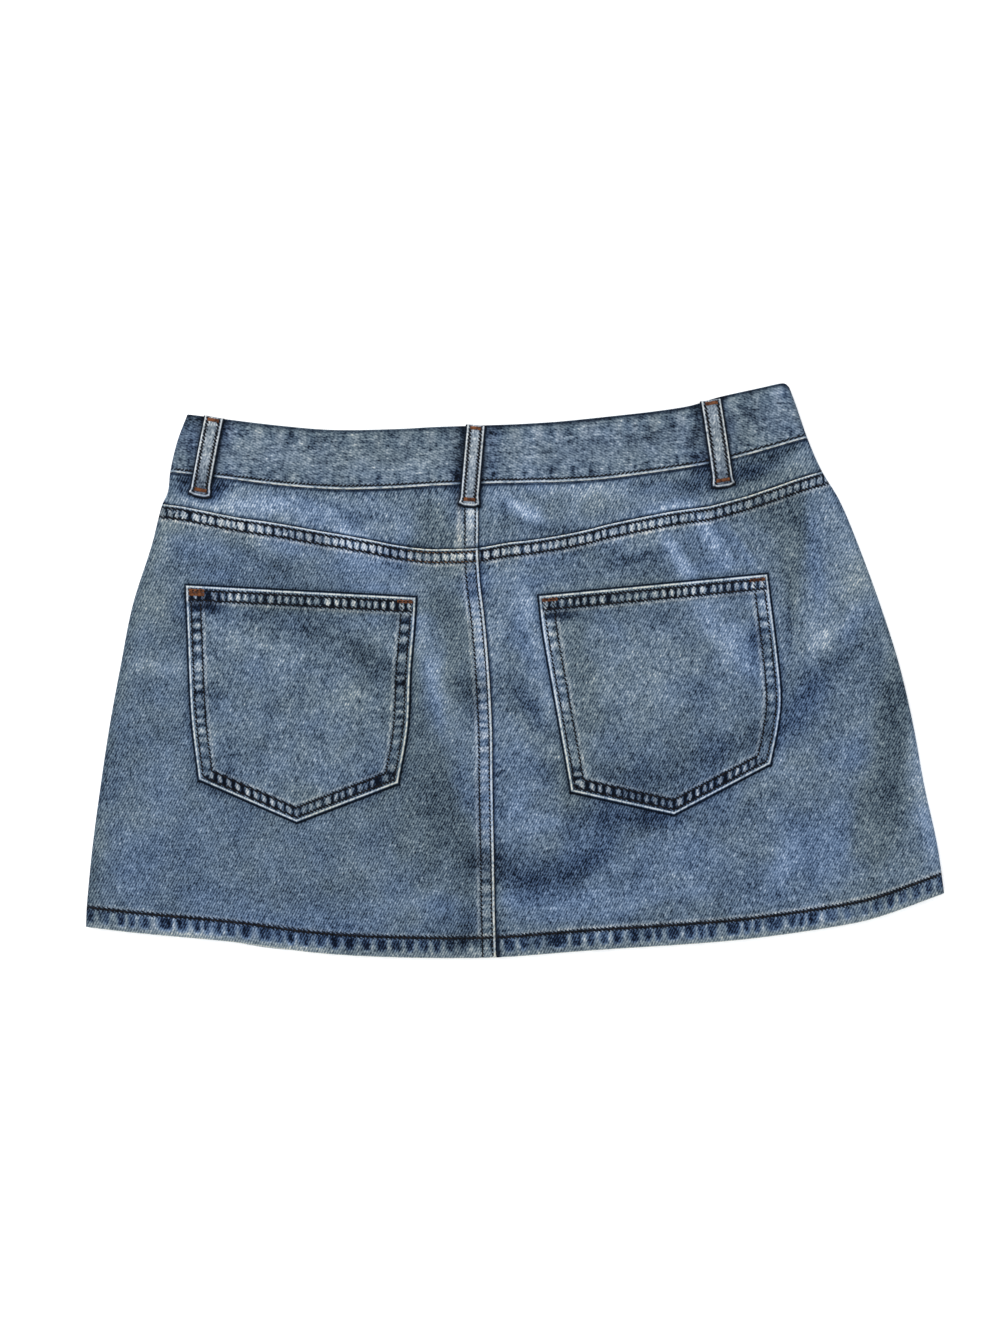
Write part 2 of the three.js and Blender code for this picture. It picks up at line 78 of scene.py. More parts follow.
# Front, which lies under the back
FRONT_DROP = 18 * MM
FRONT_HALF_WIDTH = 200 * MM
HEM_PEEK_X = -166 * MM
HEM_PEEK_HALF_WIDTH = 30 * MM
HEM_PEEK_DEPTH = 1.2 * MM
LAP_EDGE = -8 * MM
LAP_UNDER = 30 * MM
LAP_RUN = 26 * MM
FLY_HALF_WIDTH = 24 * MM
FLY_TOP = 16 * MM
FLY_LENGTH = 90 * MM
ZIP_THICKNESS = 1 * MM
STACK_RUN = 22 * MM
BUTTON_RADIUS = 8.5 * MM
BUTTON_X = -18 * MM
BUTTON_LIFT = 1.8 * MM
BUTTON_REACH = 40 * MM
WAIST_LIFT_RUN = 28 * MM
LOOP_BOW = 2 * MM

# Looks
HOLLOW_SHARPNESS = 2.4
RIM_SHADOW = 2.5
INSIDE_LIGHT = 0.16
DARKEST = 0.92

# Fineness of the meshes and lines
ROW_CELL = 0.95 * MM
POCKET_FRAME = 13 * MM
POCKET_TOP = 16 * MM
POCKET_CELLS = 92
OUTLINE_POINTS = 60
LINE_POINTS = 160
PLAN_ROUNDS = 6
UNEVEN_PLACES = 1024
UNEVEN_START = 300
FAR = 1.0

# Edges and seams in millimetres, each a few places that the cloth's edge passes through
WAIST_EDGE = [
    (-202.2, 181.7), (-138.4, 171.2), (-101.8, 167), (-40, 165.9), (22.9, 165.6),
    (74.8, 168.1), (126.8, 172.4), (150.4, 178), (179.1, 183), (190, 184.9), (193.4, 184.6),
    (195.6, 182.8),
]
BAND_SEAM = [
    (-214.9, 144.1), (-184, 139.3), (-140, 131.9), (-103.5, 127.9), (-72, 127.1), (-50, 127.3),
    (-8, 127.2), (24.6, 126.6), (44, 126.4), (73, 127.2), (125, 132.1), (156.3, 136.7),
    (206.8, 148.4),
]
YOKE_SEAM = [
    (-220.9, 123.2), (-208, 121), (-193.8, 117.6), (-172, 112.3), (-153, 108.7), (-137, 105.3),
    (-119, 101.2), (-104.8, 98.2), (-84, 93.4), (-68.3, 89.5), (-50, 86.3), (-39, 85.4),
    (-14, 85.2), (6, 87.7), (19.5, 88.6), (41, 91.2), (59, 94.1), (72, 96.9), (95, 100.7),
    (112, 103.3), (123.8, 104.6), (132, 105.3), (140, 106.1), (148, 107.8), (166, 111.9),
    (176, 114.8), (183, 116.8), (201, 122.2), (214.6, 125.6),
]
HEM_EDGE = [
    (-284, -153.5), (-252.5, -158.8), (-189.5, -167.5), (-126.5, -178.2), (-63.4, -183.8),
    (-13.2, -185.6), (47.6, -183.8), (142.9, -181.3), (206.5, -175.6), (238.5, -170.3),
    (284, -156),
]
LEFT_SIDE = [
    (-284, -153.5), (-282.7, -139), (-277.1, -99.7), (-270.1, -60.3), (-262.4, -21),
    (-253.4, 18.2), (-243.8, 57.4), (-229.5, 96.5), (-221.8, 122), (-217.4, 131), (-215, 145.4),
    (-209.4, 164.9), (-202.2, 181.7),
]
RIGHT_SIDE = [
    (284, -156), (280.8, -124), (273.9, -84.1), (268.4, -44.2), (260.9, -4.2), (250.1, 35.9),
    (237.3, 76.1), (226.1, 106.3), (215.1, 126.6), (206.8, 148.1), (200.1, 170.6),
    (196.2, 182.6), (195.4, 185.2),
]
CENTRE_SEAM = [
    (-13.8, -185), (-13.5, -160), (-13, -140), (-12.4, -120), (-11.8, -95), (-11, -65),
    (-10, -38), (-10, -18), (-10.2, 2), (-10.9, 22), (-12, 42), (-13.6, 61), (-14, 82),
    (-13, 102), (-12.1, 127.9),
]

# Patch pockets in millimetres: both side edges from the bottom corner up, and the tip
POCKETS = {
    "left": {
        "left": [(-204.4, -59.2), (-207.5, -17.5), (-207.6, 41.3), (-207.4, 68.4)],
        "right": [(-74, -67.3), (-66.2, -31.2), (-62.8, 5.5), (-59, 34.8), (-57, 53.8)],
        "tip": (-141.7, -89.9),
    },
    "right": {
        "left": [(41, -77.8), (37.5, -51.1), (32.2, -12.1), (27.1, 26.9), (25.2, 51.2)],
        "right": [(172.4, -65.3), (177.9, -43.5), (181, -24.4), (180.2, 0.8), (175.6, 59)],
        "tip": (107.8, -95.7),
    },
}

LENGTHS = {"x", "y", "length", "width", "rise", "top_x", "top_y", "bottom_x", "bottom_y"}


def table(names, *rows):
    """Rows of named columns. Lengths are written in millimetres and kept in metres."""
    keys = names.split()
    return [
        {key: value * MM if key in LENGTHS else value for key, value in zip(keys, row)}
        for row in rows
    ]


# Belt loops: the middle of each end, the width, and how light they are and how much darker towards
# their lower end
LOOPS = table(
    "name top_x top_y bottom_x bottom_y width light fade",
    ("left", -184.2, 178.8, -196.3, 127.9, 11.6, 0, 0.2),
    ("centre", -11.8, 165.6, -18.7, 113.4, 10.9, 0.01, 0.08),
    ("right", 143.8, 175.8, 150, 119.2, 12.2, -0.03, 0.13),
)

# The largest folds of the upper layer: middle, direction, half length, half width, rise
FOLDS = table(
    "x y turn length width rise",
    (205, -22, 32, 75, 20, -0.8),
    (222, -72, 38, 60, 26, 1.1),
    (214, 34, 66, 55, 19, 1.1),
    (80, -112, 22, 48, 18, -0.7),
    (14, -88, 84, 62, 15, 1),
    (-42, -18, 106, 72, 17, 1.1),
    (-60, -108, 98, 44, 20, -0.7),
    (-236, -78, 62, 58, 20, 1),
    (-176, -128, 12, 50, 17, 0.8),
    (104, -142, 8, 60, 15, 0.9),
    (-140, 82, -14, 46, 10, 0.7),
    (112, 84, 12, 46, 10, 0.7),
)

# Small creases, in the same columns
CREASES = table(
    "x y turn length width rise",
    (20, 106, -36, 20, 3.5, 0.5),
    (28, 117, -40, 18, 3.5, 0.45),
    (20, 97, -14, 20, 3.5, -0.5),
    (128, 70, -58, 17, 4, 0.55),
    (156, 74, -56, 18, 4, 0.5),
    (142, 72, -57, 17, 4, -0.45),
    (-60, 112, -62, 18, 5, 0.35),
    (-168, 116, -24, 22, 5, 0.4),
    (-104, 112, 20, 24, 5, 0.35),
    (96, 116, 16, 24, 5, 0.4),
    (178, 126, 42, 14, 4, 0.4),
    (-234, -20, 74, 44, 6, 0.5),
    (232, -6, 60, 40, 6, 0.5),
    (246, -98, 52, 34, 7, 0.45),
    (-120, -122, 10, 40, 7, 0.4),
    (24, -60, 70, 36, 6, 0.4),
    (-34, 30, 104, 40, 5, 0.4),
    (204, 84, -70, 26, 5, 0.45),
)

# Where the wash is lighter or darker, with painted shade on the folds and beside the seams and
# loops, and greener (below 0) or bluer
PATCHES = table(
    "x y turn length width light tint",
    (-199, 164, 80, 12, 4, -0.08, 0.4),
    (-177, 168, 80, 9, 5, -0.1, 0.4),
    (-206, 136, 60, 8, 5, -0.16, 0.4),
    (-184, 131, 40, 9, 5, -0.2, 0.5),
    (-112, 162, 4, 14, 6, -0.06, -0.2),
    (190, 178, 0, 8, 8, 0, 0.6),
    (-22, 148, 84, 26, 6, -0.17, -0.2),
    (-25, 128, 70, 9, 6, -0.1, 0.4),
    (-2, 137, 84, 12, 5, -0.07, 0.4),
    (0, 160, 78, 9, 5, -0.1, 0.6),
    (24, 150, 86, 22, 11, 0.06, 0.1),
    (170, 172, 10, 20, 8, 0, -0.3),
    (41, 139, 88, 10, 4, -0.08, 0),
    (64, 151, 4, 16, 5, -0.05, 0),
    (108, 155, 6, 18, 5, -0.12, 0),
    (171, 167, 70, 9, 8, -0.12, 0.2),
    (151, 174, 84, 7, 4, -0.06, 0),
    (163, 140, 82, 22, 3, -0.05, 0),
    (171, 123, 14, 10, 3, -0.09, 0),
    (130, 166, 84, 9, 3, 0.1, 0),
    (-217, 117, -10, 6, 3, -0.12, 0),
    (-19, 118, 86, 7, 3, 0.08, 0),
    (42, 122, 10, 8, 5, 0.06, 0),
    (96, 118, 8, 9, 4, -0.1, 0),
    (160, 173, 60, 8, 5, 0.09, 0),
    (133, 160, 84, 20, 5, -0.14, -0.3),
    (157, 160, 84, 8, 4, -0.08, 0.3),
    (186, 178, 10, 14, 7, 0.05, 0),
    (137, 132, 60, 8, 6, -0.16, 0.4),
    (169, 128, 12, 14, 5, -0.19, 0.4),
    (188, 139, 18, 14, 4, -0.14, -0.2),
    (131, 120, 4, 17, 5, -0.13, 0.1),
    (128, 112, 6, 13, 4, -0.07, 0),
    (-212, 108, -14, 24, 7, 0.03, -0.6),
    (-178, 121, -16, 20, 6, 0.07, 0.4),
    (-152, 120, -10, 22, 7, 0.07, 0.4),
    (-112, 113, -14, 24, 7, 0.05, 0.2),
    (-100, 111, -45, 16, 3.5, -0.1, 0),
    (-74, 104, -8, 14, 8, 0.06, 0),
    (-150, 117, -14, 50, 9, 0.03, 0),
    (-44, 106, -60, 16, 8, -0.07, -0.5),
    (-62, 96, 80, 18, 7, 0, 0.6),
    (66, 107, 8, 16, 7, -0.04, 0),
    (112, 105, 10, 26, 3, 0.09, 0),
    (82, 124, 6, 22, 8, 0.08, 0),
    (76, 138, 4, 24, 6, 0.05, 0),
    (32, 123, 0, 40, 4, 0.05, 0.3),
    (-126, 118, -12, 20, 8, 0, 0.5),
    (5, 108, 88, 13, 3, -0.08, 0),
    (20, 108, -36, 20, 4.5, 0.09, 0.3),
    (30, 97, -8, 24, 4, -0.1, 0),
    (62, 110, 14, 18, 6, 0.03, -0.2),
    (97, 123, 0, 11, 4, -0.14, 0),
    (103, 118, 10, 18, 5, 0.05, 0.5),
    (178, 120, 14, 24, 5, 0, -0.7),
    (-206, 90, -20, 16, 8, -0.03, 0.2),
    (-178, 107, -16, 34, 6, 0.06, 0),
    (-130, 44, -8, 40, 7, -0.03, 0),
    (-184, 90, -24, 22, 7, 0.05, 0.5),
    (-157, 83, -30, 24, 8, -0.07, 0),
    (-84, 74, 0, 26, 8, 0, 0.5),
    (-140, 92, -14, 22, 7, 0.02, 0.6),
    (-94, 88, -42, 20, 11, 0.11, 0.5),
    (-54, 87, -8, 20, 5, -0.08, -0.6),
    (-44, 96, 80, 20, 9, 0, -0.5),
    (-32, 78, 70, 14, 12, 0, -0.9),
    (-22, 48, 86, 14, 6, 0, 0.6),
    (-58, 30, 88, 16, 4, 0, 0.6),
    (-35, 8, 88, 18, 5, 0, -0.6),
    (-226, 60, 80, 16, 9, 0.05, -0.5),
    (-228, 16, -8, 24, 7, 0.09, 0),
    (-183, 30, 80, 9, 7, 0.06, 0),
    (-193, -28, 80, 10, 5, 0.06, 0),
    (-238, 70, 76, 30, 7, 0, -0.6),
    (-228, -70, 48, 44, 10, 0.03, 0.1),
    (-236, -110, 30, 40, 20, 0, 0.4),
    (-272, -96, 82, 26, 7, 0.05, -0.2),
    (-206, -44, 60, 18, 10, -0.05, 0),
    (-206, -6, 84, 14, 7, -0.05, 0),
    (-262, -60, 80, 40, 12, -0.03, 0.2),
    (-195, 58, 0, 13, 8, -0.18, 0.4),
    (-66, 60, 0, 9, 5, 0.06, 0.3),
    (-150, 42, -12, 36, 10, -0.05, 0),
    (-187, 178, -4, 10, 4, -0.26, 0),
    (-128, 97, -14, 16, 3.5, -0.08, 0),
    (-96, 97, -14, 18, 3, 0.09, 0),
    (-84, 108, -12, 14, 4, -0.08, 0),
    (-177, 59, -4, 11, 7, 0.16, 0),
    (-90, 32, -20, 34, 10, 0.045, 0),
    (-39, 106, 80, 7, 4, 0.1, 0),
    (-19, 107, 88, 14, 3, 0.1, 0),
    (16, 108, -36, 16, 4, 0.07, 0),
    (-196, 121, -14, 24, 3.5, 0.1, 0),
    (-222, 98, 78, 12, 6, 0.06, 0),
    (-202, -31, 80, 12, 6, 0.05, 0),
    (-164, 28, -36, 36, 11, 0.06, 0),
    (-104, 25, -34, 34, 12, -0.065, -0.3),
    (-88, 14, -60, 18, 10, -0.06, -0.4),
    (-160, -20, 10, 26, 14, 0.03, 0),
    (-156, -21, 84, 15, 6, -0.07, 0),
    (-112, -12, 60, 22, 12, 0.05, 0),
    (-194, -8, 86, 14, 5, -0.06, 0),
    (-62, -10, 84, 40, 6, -0.04, -0.8),
    (-188, -62, -20, 14, 7, -0.12, 0),
    (-92, -68, 20, 20, 8, -0.09, 0.1),
    (-47, 4, -80, 38, 7, 0.08, 0.2),
    (-38, 42, -82, 18, 7, -0.05, -0.6),
    (-72, -20, 84, 40, 9, 0, -0.6),
    (-120, 56, -2, 60, 5, 0, -0.5),
    (-86, 62, -4, 16, 4, 0, 0.7),
    (84, 54, 4, 36, 5, 0, -0.7),
    (-98, -10, 80, 16, 10, 0, -0.5),
    (-130, -78, -20, 20, 8, 0, -0.6),
    (-66, -84, 80, 34, 8, 0, -0.6),
    (-75, 155, 0, 44, 14, 0, -0.5),
    (-36, -34, -84, 22, 8, 0.04, 0),
    (-24, 26, -84, 34, 6, -0.03, -0.8),
    (-22, -8, -60, 14, 9, -0.07, -0.3),
    (-19, 58, 86, 14, 4, -0.05, 0.4),
    (-24, 81, 0, 14, 3.5, 0.13, 0.3),
    (-47, 32, 86, 12, 4, -0.06, 0),
    (-13, -40, 88, 40, 5, 0.04, 0),
    (-42, -68, -80, 38, 14, -0.05, -0.7),
    (-32, -112, -84, 28, 8, -0.06, -0.6),
    (-18, -121, 8, 16, 7, -0.12, 0),
    (-30, -160, 84, 10, 9, -0.09, 0),
    (-26, -84, 88, 34, 6, 0.04, 0),
    (-32, -74, -84, 26, 8, 0, 0.7),
    (-70, -100, 80, 50, 24, -0.02, 0),
    (-14, -72, 88, 34, 6, 0.03, 0.6),
    (-50, -84, -84, 30, 9, -0.05, -0.3),
    (-16, -150, 88, 26, 8, -0.01, -0.8),
    (-80, -146, -3, 50, 8, 0.03, 0.1),
    (-150, -138, -6, 60, 12, -0.03, -0.1),
    (-120, -174, -6, 40, 6, -0.04, 0),
    (-170, -158, -6, 90, 9, 0, 0.5),
    (24, -152, 0, 36, 8, 0.03, 0.5),
    (200, -167, 8, 50, 6, 0.05, 0.3),
    (13, 44, -60, 22, 11, 0.09, 0.1),
    (-12, 27, -78, 24, 10, 0.14, 0),
    (-31, 26, 86, 18, 4, 0, -0.5),
    (-16, 70, 88, 10, 7, -0.05, 0.2),
    (36, 24, -80, 30, 6, 0, -0.4),
    (28, 12, -78, 34, 6, 0.1, 0.5),
    (15, -20, -56, 26, 7, -0.08, 0.4),
    (10, -46, -50, 16, 10, 0.04, 0.4),
    (38, -74, -76, 30, 9, -0.05, -0.7),
    (4, -88, 80, 24, 12, 0.05, 0.6),
    (24, -100, 10, 18, 7, 0.05, 0.6),
    (11, -136, -16, 22, 9, -0.17, 0.3),
    (150, -117, 10, 12, 8, 0.04, 0),
    (-276, -118, 80, 26, 8, -0.06, 0),
    (48, -127, 38, 24, 8, -0.12, 0.2),
    (60, -96, 80, 18, 8, -0.08, 0.2),
    (40, 40, 6, 13, 6, -0.13, 0.3),
    (46, 56, 6, 24, 3, 0.08, 0),
    (28, -22, -72, 26, 7, 0.09, 0),
    (36, -53, -24, 16, 6, 0.08, 0),
    (40, -102, 60, 20, 8, -0.06, 0),
    (92, -121, 60, 18, 8, -0.05, 0),
    (118, -51, 20, 14, 7, -0.05, 0),
    (10, -147, 0, 12, 6, -0.06, 0),
    (-36, -174, -4, 8, 5, -0.12, 0),
    (56, -172, 2, 20, 5, 0.12, 0),
    (-142, -173, -6, 22, 5, 0.1, 0),
    (-118, -166, -6, 10, 5, -0.07, 0),
    (28, -112, 0, 9, 5, 0.07, 0),
    (24, -142, 0, 16, 4, 0.07, 0),
    (-9, -32, 88, 8, 4, 0.06, 0),
    (154, -147, 4, 14, 6, -0.08, 0),
    (165, -79, 10, 12, 6, 0.07, 0),
    (22, -62, -50, 16, 8, -0.07, 0),
    (105, -66, 20, 40, 14, -0.03, 0),
    (250, -158, 14, 10, 5, 0.03, 0),
    (40, -118, 60, 24, 12, 0, 0.6),
    (70, 58, 6, 34, 5, -0.03, 0),
    (100, 0, -50, 30, 24, 0.04, 0),
    (106, 36, 0, 22, 10, -0.04, 0),
    (168, 46, -60, 12, 7, 0.1, 0.2),
    (256, 0, 100, 16, 7, 0.07, 0),
    (228, -62, 60, 18, 9, 0, 0.5),
    (230, -112, 80, 26, 8, 0, -0.8),
    (274, -112, 98, 22, 6, 0, 0.6),
    (212, -138, 10, 26, 8, 0, 0.5),
    (52, -6, -78, 44, 8, 0, -0.7),
    (139, 27, -56, 30, 7, 0.1, 0.6),
    (115, 77, -64, 20, 5, 0.1, 0.6),
    (140, 86, -60, 20, 5, 0.14, 0.7),
    (182, 101, -40, 15, 8, -0.09, 0.2),
    (98, 94, 12, 32, 6, 0.1, 0),
    (116, 108, 12, 18, 5, 0.05, 0),
    (145, 86, 0, 34, 12, 0, 0.5),
    (200, 100, -70, 20, 10, 0, -0.7),
    (182, 100, -30, 26, 15, 0, -0.9),
    (145, 66, 8, 26, 6, 0, 0.8),
    (112, 107, 10, 18, 5, 0, 0.6),
    (207, 94, -70, 14, 7, 0, 0.8),
    (-25, -178, 0, 12, 8, 0, -0.5),
    (-30, -146, 0, 14, 8, 0, -0.5),
    (159, 86, -60, 16, 6, 0, -0.5),
    (-78, -66, 60, 20, 6, 0, -0.5),
    (48, -50, -76, 26, 8, 0, -0.5),
    (-126, -171, -6, 30, 5, 0, 0.4),
    (84, 48, 4, 24, 3, 0, -0.6),
    (-70, -4, 80, 26, 6, 0, -0.4),
    (8, -20, -70, 18, 8, 0, -0.5),
    (15, 108, -30, 18, 6, 0, 0.5),
    (-110, 49, -4, 60, 4, 0, -0.5),
    (80, 47, 4, 30, 4, 0, -0.5),
    (-16, -10, 89, 90, 5, 0, 0.5),
    (210, -64, 60, 14, 8, 0, 0.4),
    (-70, -177, -2, 60, 6, 0, -0.6),
    (238, -159, 12, 30, 5, 0, -0.6),
    (30, -161, 0, 40, 4, 0, 0.5),
    (179, -153, 8, 26, 5, 0, 0.5),
    (-262, -148, -6, 20, 5, 0, -0.7),
    (192, 76, 60, 14, 10, 0, -0.6),
    (278, -70, 98, 40, 5, 0, 0.4),
    (208, 66, -84, 36, 6, 0, 0.7),
    (230, 21, 70, 18, 7, 0, 0.6),
    (88, 49, 4, 20, 4, 0, -0.7),
    (-90, 51, -4, 60, 4, 0, -0.4),
    (-72, 86, 0, 10, 7, 0, 0.6),
    (-54, -108, 84, 26, 8, 0, -0.6),
    (238, -136, 70, 14, 8, 0, -0.7),
    (-187, 75, -10, 16, 5, 0, 0.5),
    (14, 26, -80, 26, 6, 0, 0.5),
    (180, -24, 88, 36, 4, 0, 0.6),
    (-46, -22, -80, 36, 5, 0, 0.5),
    (-163, 96, -16, 12, 7, 0, -0.5),
    (-180, -138, -6, 50, 12, 0, 0.35),
    (25, 62, 10, 12, 6, 0, 0.6),
    (168, 150, 80, 20, 12, 0, -0.4),
    (-114, 105, -14, 18, 6, 0, 0.4),
    (30, 77, 0, 18, 7, 0, 0.5),
    (-18, 63, 0, 12, 7, 0, 0.5),
    (160, 78, -60, 16, 4, 0.05, 0.7),
    (90, 74, 4, 20, 4.5, -0.11, 0),
    (124, 66, -60, 14, 5, 0.09, 0.4),
    (175, 37, 88, 12, 5, 0.1, 0.3),
    (166, 16, 88, 14, 4, -0.14, 0.5),
    (189, 30, 88, 26, 3, -0.1, 0.3),
    (214, 15, 60, 9, 7, 0.12, 0),
    (170, 62, 10, 10, 6, 0.07, 0),
    (84, 56, 4, 22, 4, 0.06, 0),
    (94, 82, 6, 14, 3, 0.07, 0),
    (54, 80, 6, 20, 4, -0.06, 0),
    (-58, 20, 86, 42, 3, 0.07, 0),
    (-104, 55, -4, 16, 4, 0.06, 0),
    (-201, 18, 86, 14, 4, 0.07, 0),
    (-21, -22, 88, 12, 6, -0.06, 0),
    (-21, -80, 88, 18, 5, -0.05, 0),
    (-34, -103, 80, 10, 6, 0.05, 0),
    (28, -127, 0, 9, 5, -0.08, 0),
    (150, 10, 84, 12, 5, 0.06, 0),
    (124, 30, 0, 8, 8, 0.04, 0),
    (32, 22, -80, 18, 5, 0.06, 0),
    (-2, 33, 88, 10, 6, 0.05, 0),
    (-152, 91, -14, 14, 5, 0.06, 0),
    (-26, -180, 0, 8, 4, 0.1, 0),
    (-210, -161, -6, 16, 4, 0.08, 0),
    (-247, -147, -8, 12, 4, 0.08, 0),
    (76, -156, 2, 14, 5, 0.06, 0),
    (182, -164, 8, 12, 5, 0.06, 0),
    (-14, 109, 88, 6, 4, 0.1, 0),
    (172, 17, 88, 9, 3.5, -0.07, 0),
    (125, -24, 60, 20, 10, -0.05, 0),
    (165, -46, 4, 22, 7, -0.05, 0),
    (204, 12, 86, 16, 5, 0.09, 0.2),
    (160, 10, -70, 26, 10, 0.03, 0.7),
    (80, -70, -6, 28, 6, -0.07, 0.1),
    (82, -83, -10, 24, 6, -0.12, 0.1),
    (134, -60, 26, 26, 8, -0.1, 0.3),
    (88, -98, -4, 26, 8, -0.14, 0.5),
    (62, -116, 60, 24, 8, 0, 0.5),
    (132, -82, 24, 24, 10, -0.08, 0.5),
    (196, -28, 56, 26, 10, -0.04, 1.0),
    (220, 0, 40, 34, 9, -0.07, -0.2),
    (254, -46, 84, 52, 10, -0.09, -1.2),
    (247, -98, 88, 34, 12, -0.02, -0.8),
    (206, -126, 20, 30, 10, 0, 0.6),
    (274, -84, 98, 50, 7, 0.2, 0.1),
    (262, 14, 104, 30, 8, 0.06, -0.2),
    (248, 58, 108, 34, 11, 0.11, -0.1),
    (226, 88, 112, 24, 14, 0.05, 0.2),
    (213, 26, 84, 20, 10, 0.04, 0),
    (232, 40, 80, 24, 10, 0.06, -0.3),
    (198, 94, -70, 18, 7, -0.07, 0.2),
    (192, 46, 88, 24, 5, 0.02, -0.8),
    (196, -70, 4, 36, 4, 0.02, 0.1),
    (176, -66, 20, 14, 10, 0.06, 0),
    (204, -112, 8, 34, 16, 0.02, 0.6),
    (180, -134, 60, 18, 9, 0.09, 0.8),
    (110, -122, 12, 40, 20, 0.02, 0.5),
    (106, -148, 4, 50, 7, 0.04, 0.3),
    (230, -140, 14, 30, 10, 0.02, 0.3),
    (-6, -148, 0, 60, 8, 0.02, 0.6),
)


def scaled(rows):
    """Rows of millimetres as an array of metres."""
    return np.array(rows, float) * MM


def mix(a, b, share):
    return a + (b - a) * share


def ease(start, end, value):
    """0 before start, 1 past end, smooth between."""
    share = np.clip((value - start) / (end - start), 0, 1)
    return share * share * (3 - 2 * share)


def hump(half_width, value):
    """1 at no distance, falling smoothly towards 0 past a half width."""
    return np.exp(-((value / half_width) ** 2))


def line_through(points):
    """A smooth line through points that goes straight on past its ends."""
    places, values = points.T
    count = len(places)
    before = np.maximum(np.arange(count) - 1, 0)
    after = np.minimum(np.arange(count) + 1, count - 1)
    slopes = (values[after] - values[before]) / (places[after] - places[before])

    def line(at):
        at = np.asarray(at, float)
        start = np.clip(np.searchsorted(places, at) - 1, 0, count - 2)
        end = start + 1
        span = places[end] - places[start]
        share = (at - places[start]) / span
        inner = np.clip(share, 0, 1)
        blend = inner * inner * (3 - 2 * inner)
        lead = span * inner * (1 - inner) ** 2 * slopes[start]
        trail = span * inner * inner * (inner - 1) * slopes[end]
        before_first = np.minimum(share, 0) * span * slopes[start]
        past_last = np.maximum(share - 1, 0) * span * slopes[end]
        return mix(values[start], values[end], blend) + lead + trail + before_first + past_last

    return line


def upright(points):
    """A line that gives x from y."""
    return line_through(scaled(points)[:, ::-1])


waist_edge = line_through(scaled(WAIST_EDGE))
band_seam = line_through(scaled(BAND_SEAM))
yoke_seam = line_through(scaled(YOKE_SEAM))
hem_edge = line_through(scaled(HEM_EDGE))
left_side = upright(LEFT_SIDE)
right_side = upright(RIGHT_SIDE)
centre_seam = upright(CENTRE_SEAM)


def front_drop(x):
    return FRONT_DROP * np.maximum(0, 1 - (x / FRONT_HALF_WIDTH) ** 2)


def front_waist(x):
    return waist_edge(x) - front_drop(x)


def front_band_seam(x):
    return band_seam(x) - front_drop(x)


def front_hem(x):
    away = np.abs(x - HEM_PEEK_X) / HEM_PEEK_HALF_WIDTH
    return hem_edge(x) - HEM_PEEK_DEPTH * (1 - ease(0, 1, away))


def lap_edge(y):
    return np.full_like(y, LAP_EDGE)


def inside_side(x, y):
    """How far inside the nearer side edge a place is."""
    return np.minimum(x - left_side(y), right_side(y) - x)


def button_lift(x, y):
    """Lift of the waist's front round the button that it lies on."""
    across = 1 - ease(BUTTON_RADIUS + 4 * MM, BUTTON_REACH, np.abs(x - BUTTON_X))
    return BUTTON_LIFT * across * ease(-WAIST_LIFT_RUN, 0, y - front_band_seam(x))


def lap_lift(x, y):
    """Lift of the right front where it passes under the left front's lap."""
    across = 1 - ease(LAP_EDGE + 2 * MM, LAP_EDGE + LAP_RUN, x)
    along = ease(-WAIST_LIFT_RUN, 0, y - front_band_seam(x))
    return (BAND_THICKNESS + LAYER_GAP) * across * along


def right_front_lift(x, y):
    return button_lift(x, y) + lap_lift(x, y)


def lower_stack(x, y):
    """A smooth cover over the highest that the front layer reaches."""
    above_seam = y - front_band_seam(x)
    from_lap = np.abs(x - LAP_EDGE)
    clear = 2 * MM
    hem = PLY * (1 - ease(HEM_DEPTH + clear, HEM_DEPTH + STACK_RUN, y - hem_edge(x)))
    band = (BAND_THICKNESS - PLY) * ease(-STACK_RUN, -clear, above_seam)
    fly = (
        (ZIP_THICKNESS + PLY + 2 * LAYER_GAP)
        * (1 - ease(FLY_HALF_WIDTH + clear, FLY_HALF_WIDTH + STACK_RUN, from_lap))
        * ease(-STACK_RUN, -clear, above_seam + FLY_TOP + FLY_LENGTH)
        * (1 - ease(0, STACK_RUN, above_seam + FLY_TOP))
    )
    lap = (
        (BAND_THICKNESS + LAYER_GAP)
        * (1 - ease(LAP_UNDER + clear, LAP_UNDER + STACK_RUN, from_lap))
        * ease(-WAIST_LIFT_RUN, -clear, above_seam)
    )
    return PLY + hem + band + fly + lap + button_lift(x, y)


def spread(row, x, y):
    """1 in the middle of a fold or patch, falling smoothly to 0 round it."""
    turn = math.radians(row["turn"])
    along = (x - row["x"]) * math.cos(turn) + (y - row["y"]) * math.sin(turn)
    across = (y - row["y"]) * math.cos(turn) - (x - row["x"]) * math.sin(turn)
    return hump(row["length"], along) * hump(row["width"], across)


def total(rows, column, x, y):
    return sum(row[column] * spread(row, x, y) for row in rows)


def fold_rise(x, y):
    large = np.clip(LOFT + total(FOLDS, "rise", x, y), LOFT_MIN, LOFT_MAX)
    return large + total(CREASES, "rise", x, y)


def upper_under(x, y, thickness):
    """Underside of the upper layer, for cloth of a given thickness."""
    flat = lower_stack(x, y) + LAYER_GAP + fold_rise(x, y)
    towards_side = 1 - ease(FOLD_RADIUS, FOLD_REACH, inside_side(x, y))
    return mix(flat, FOLD_HEIGHT - thickness, towards_side)


def upper_top(x, y, thickness):
    return upper_under(x, y, thickness) + thickness


def strip(from_edge, depth):
    """1 inside a strip along an edge, running out to 0 past its depth."""
    return 1 - np.clip((from_edge - depth) / STEP_RUN, 0, 1)


def centre_strip(x, y):
    left_half = x < centre_seam(y)
    return np.where(left_half, strip(centre_seam(y) - x, CENTRE_STRIP), 0)


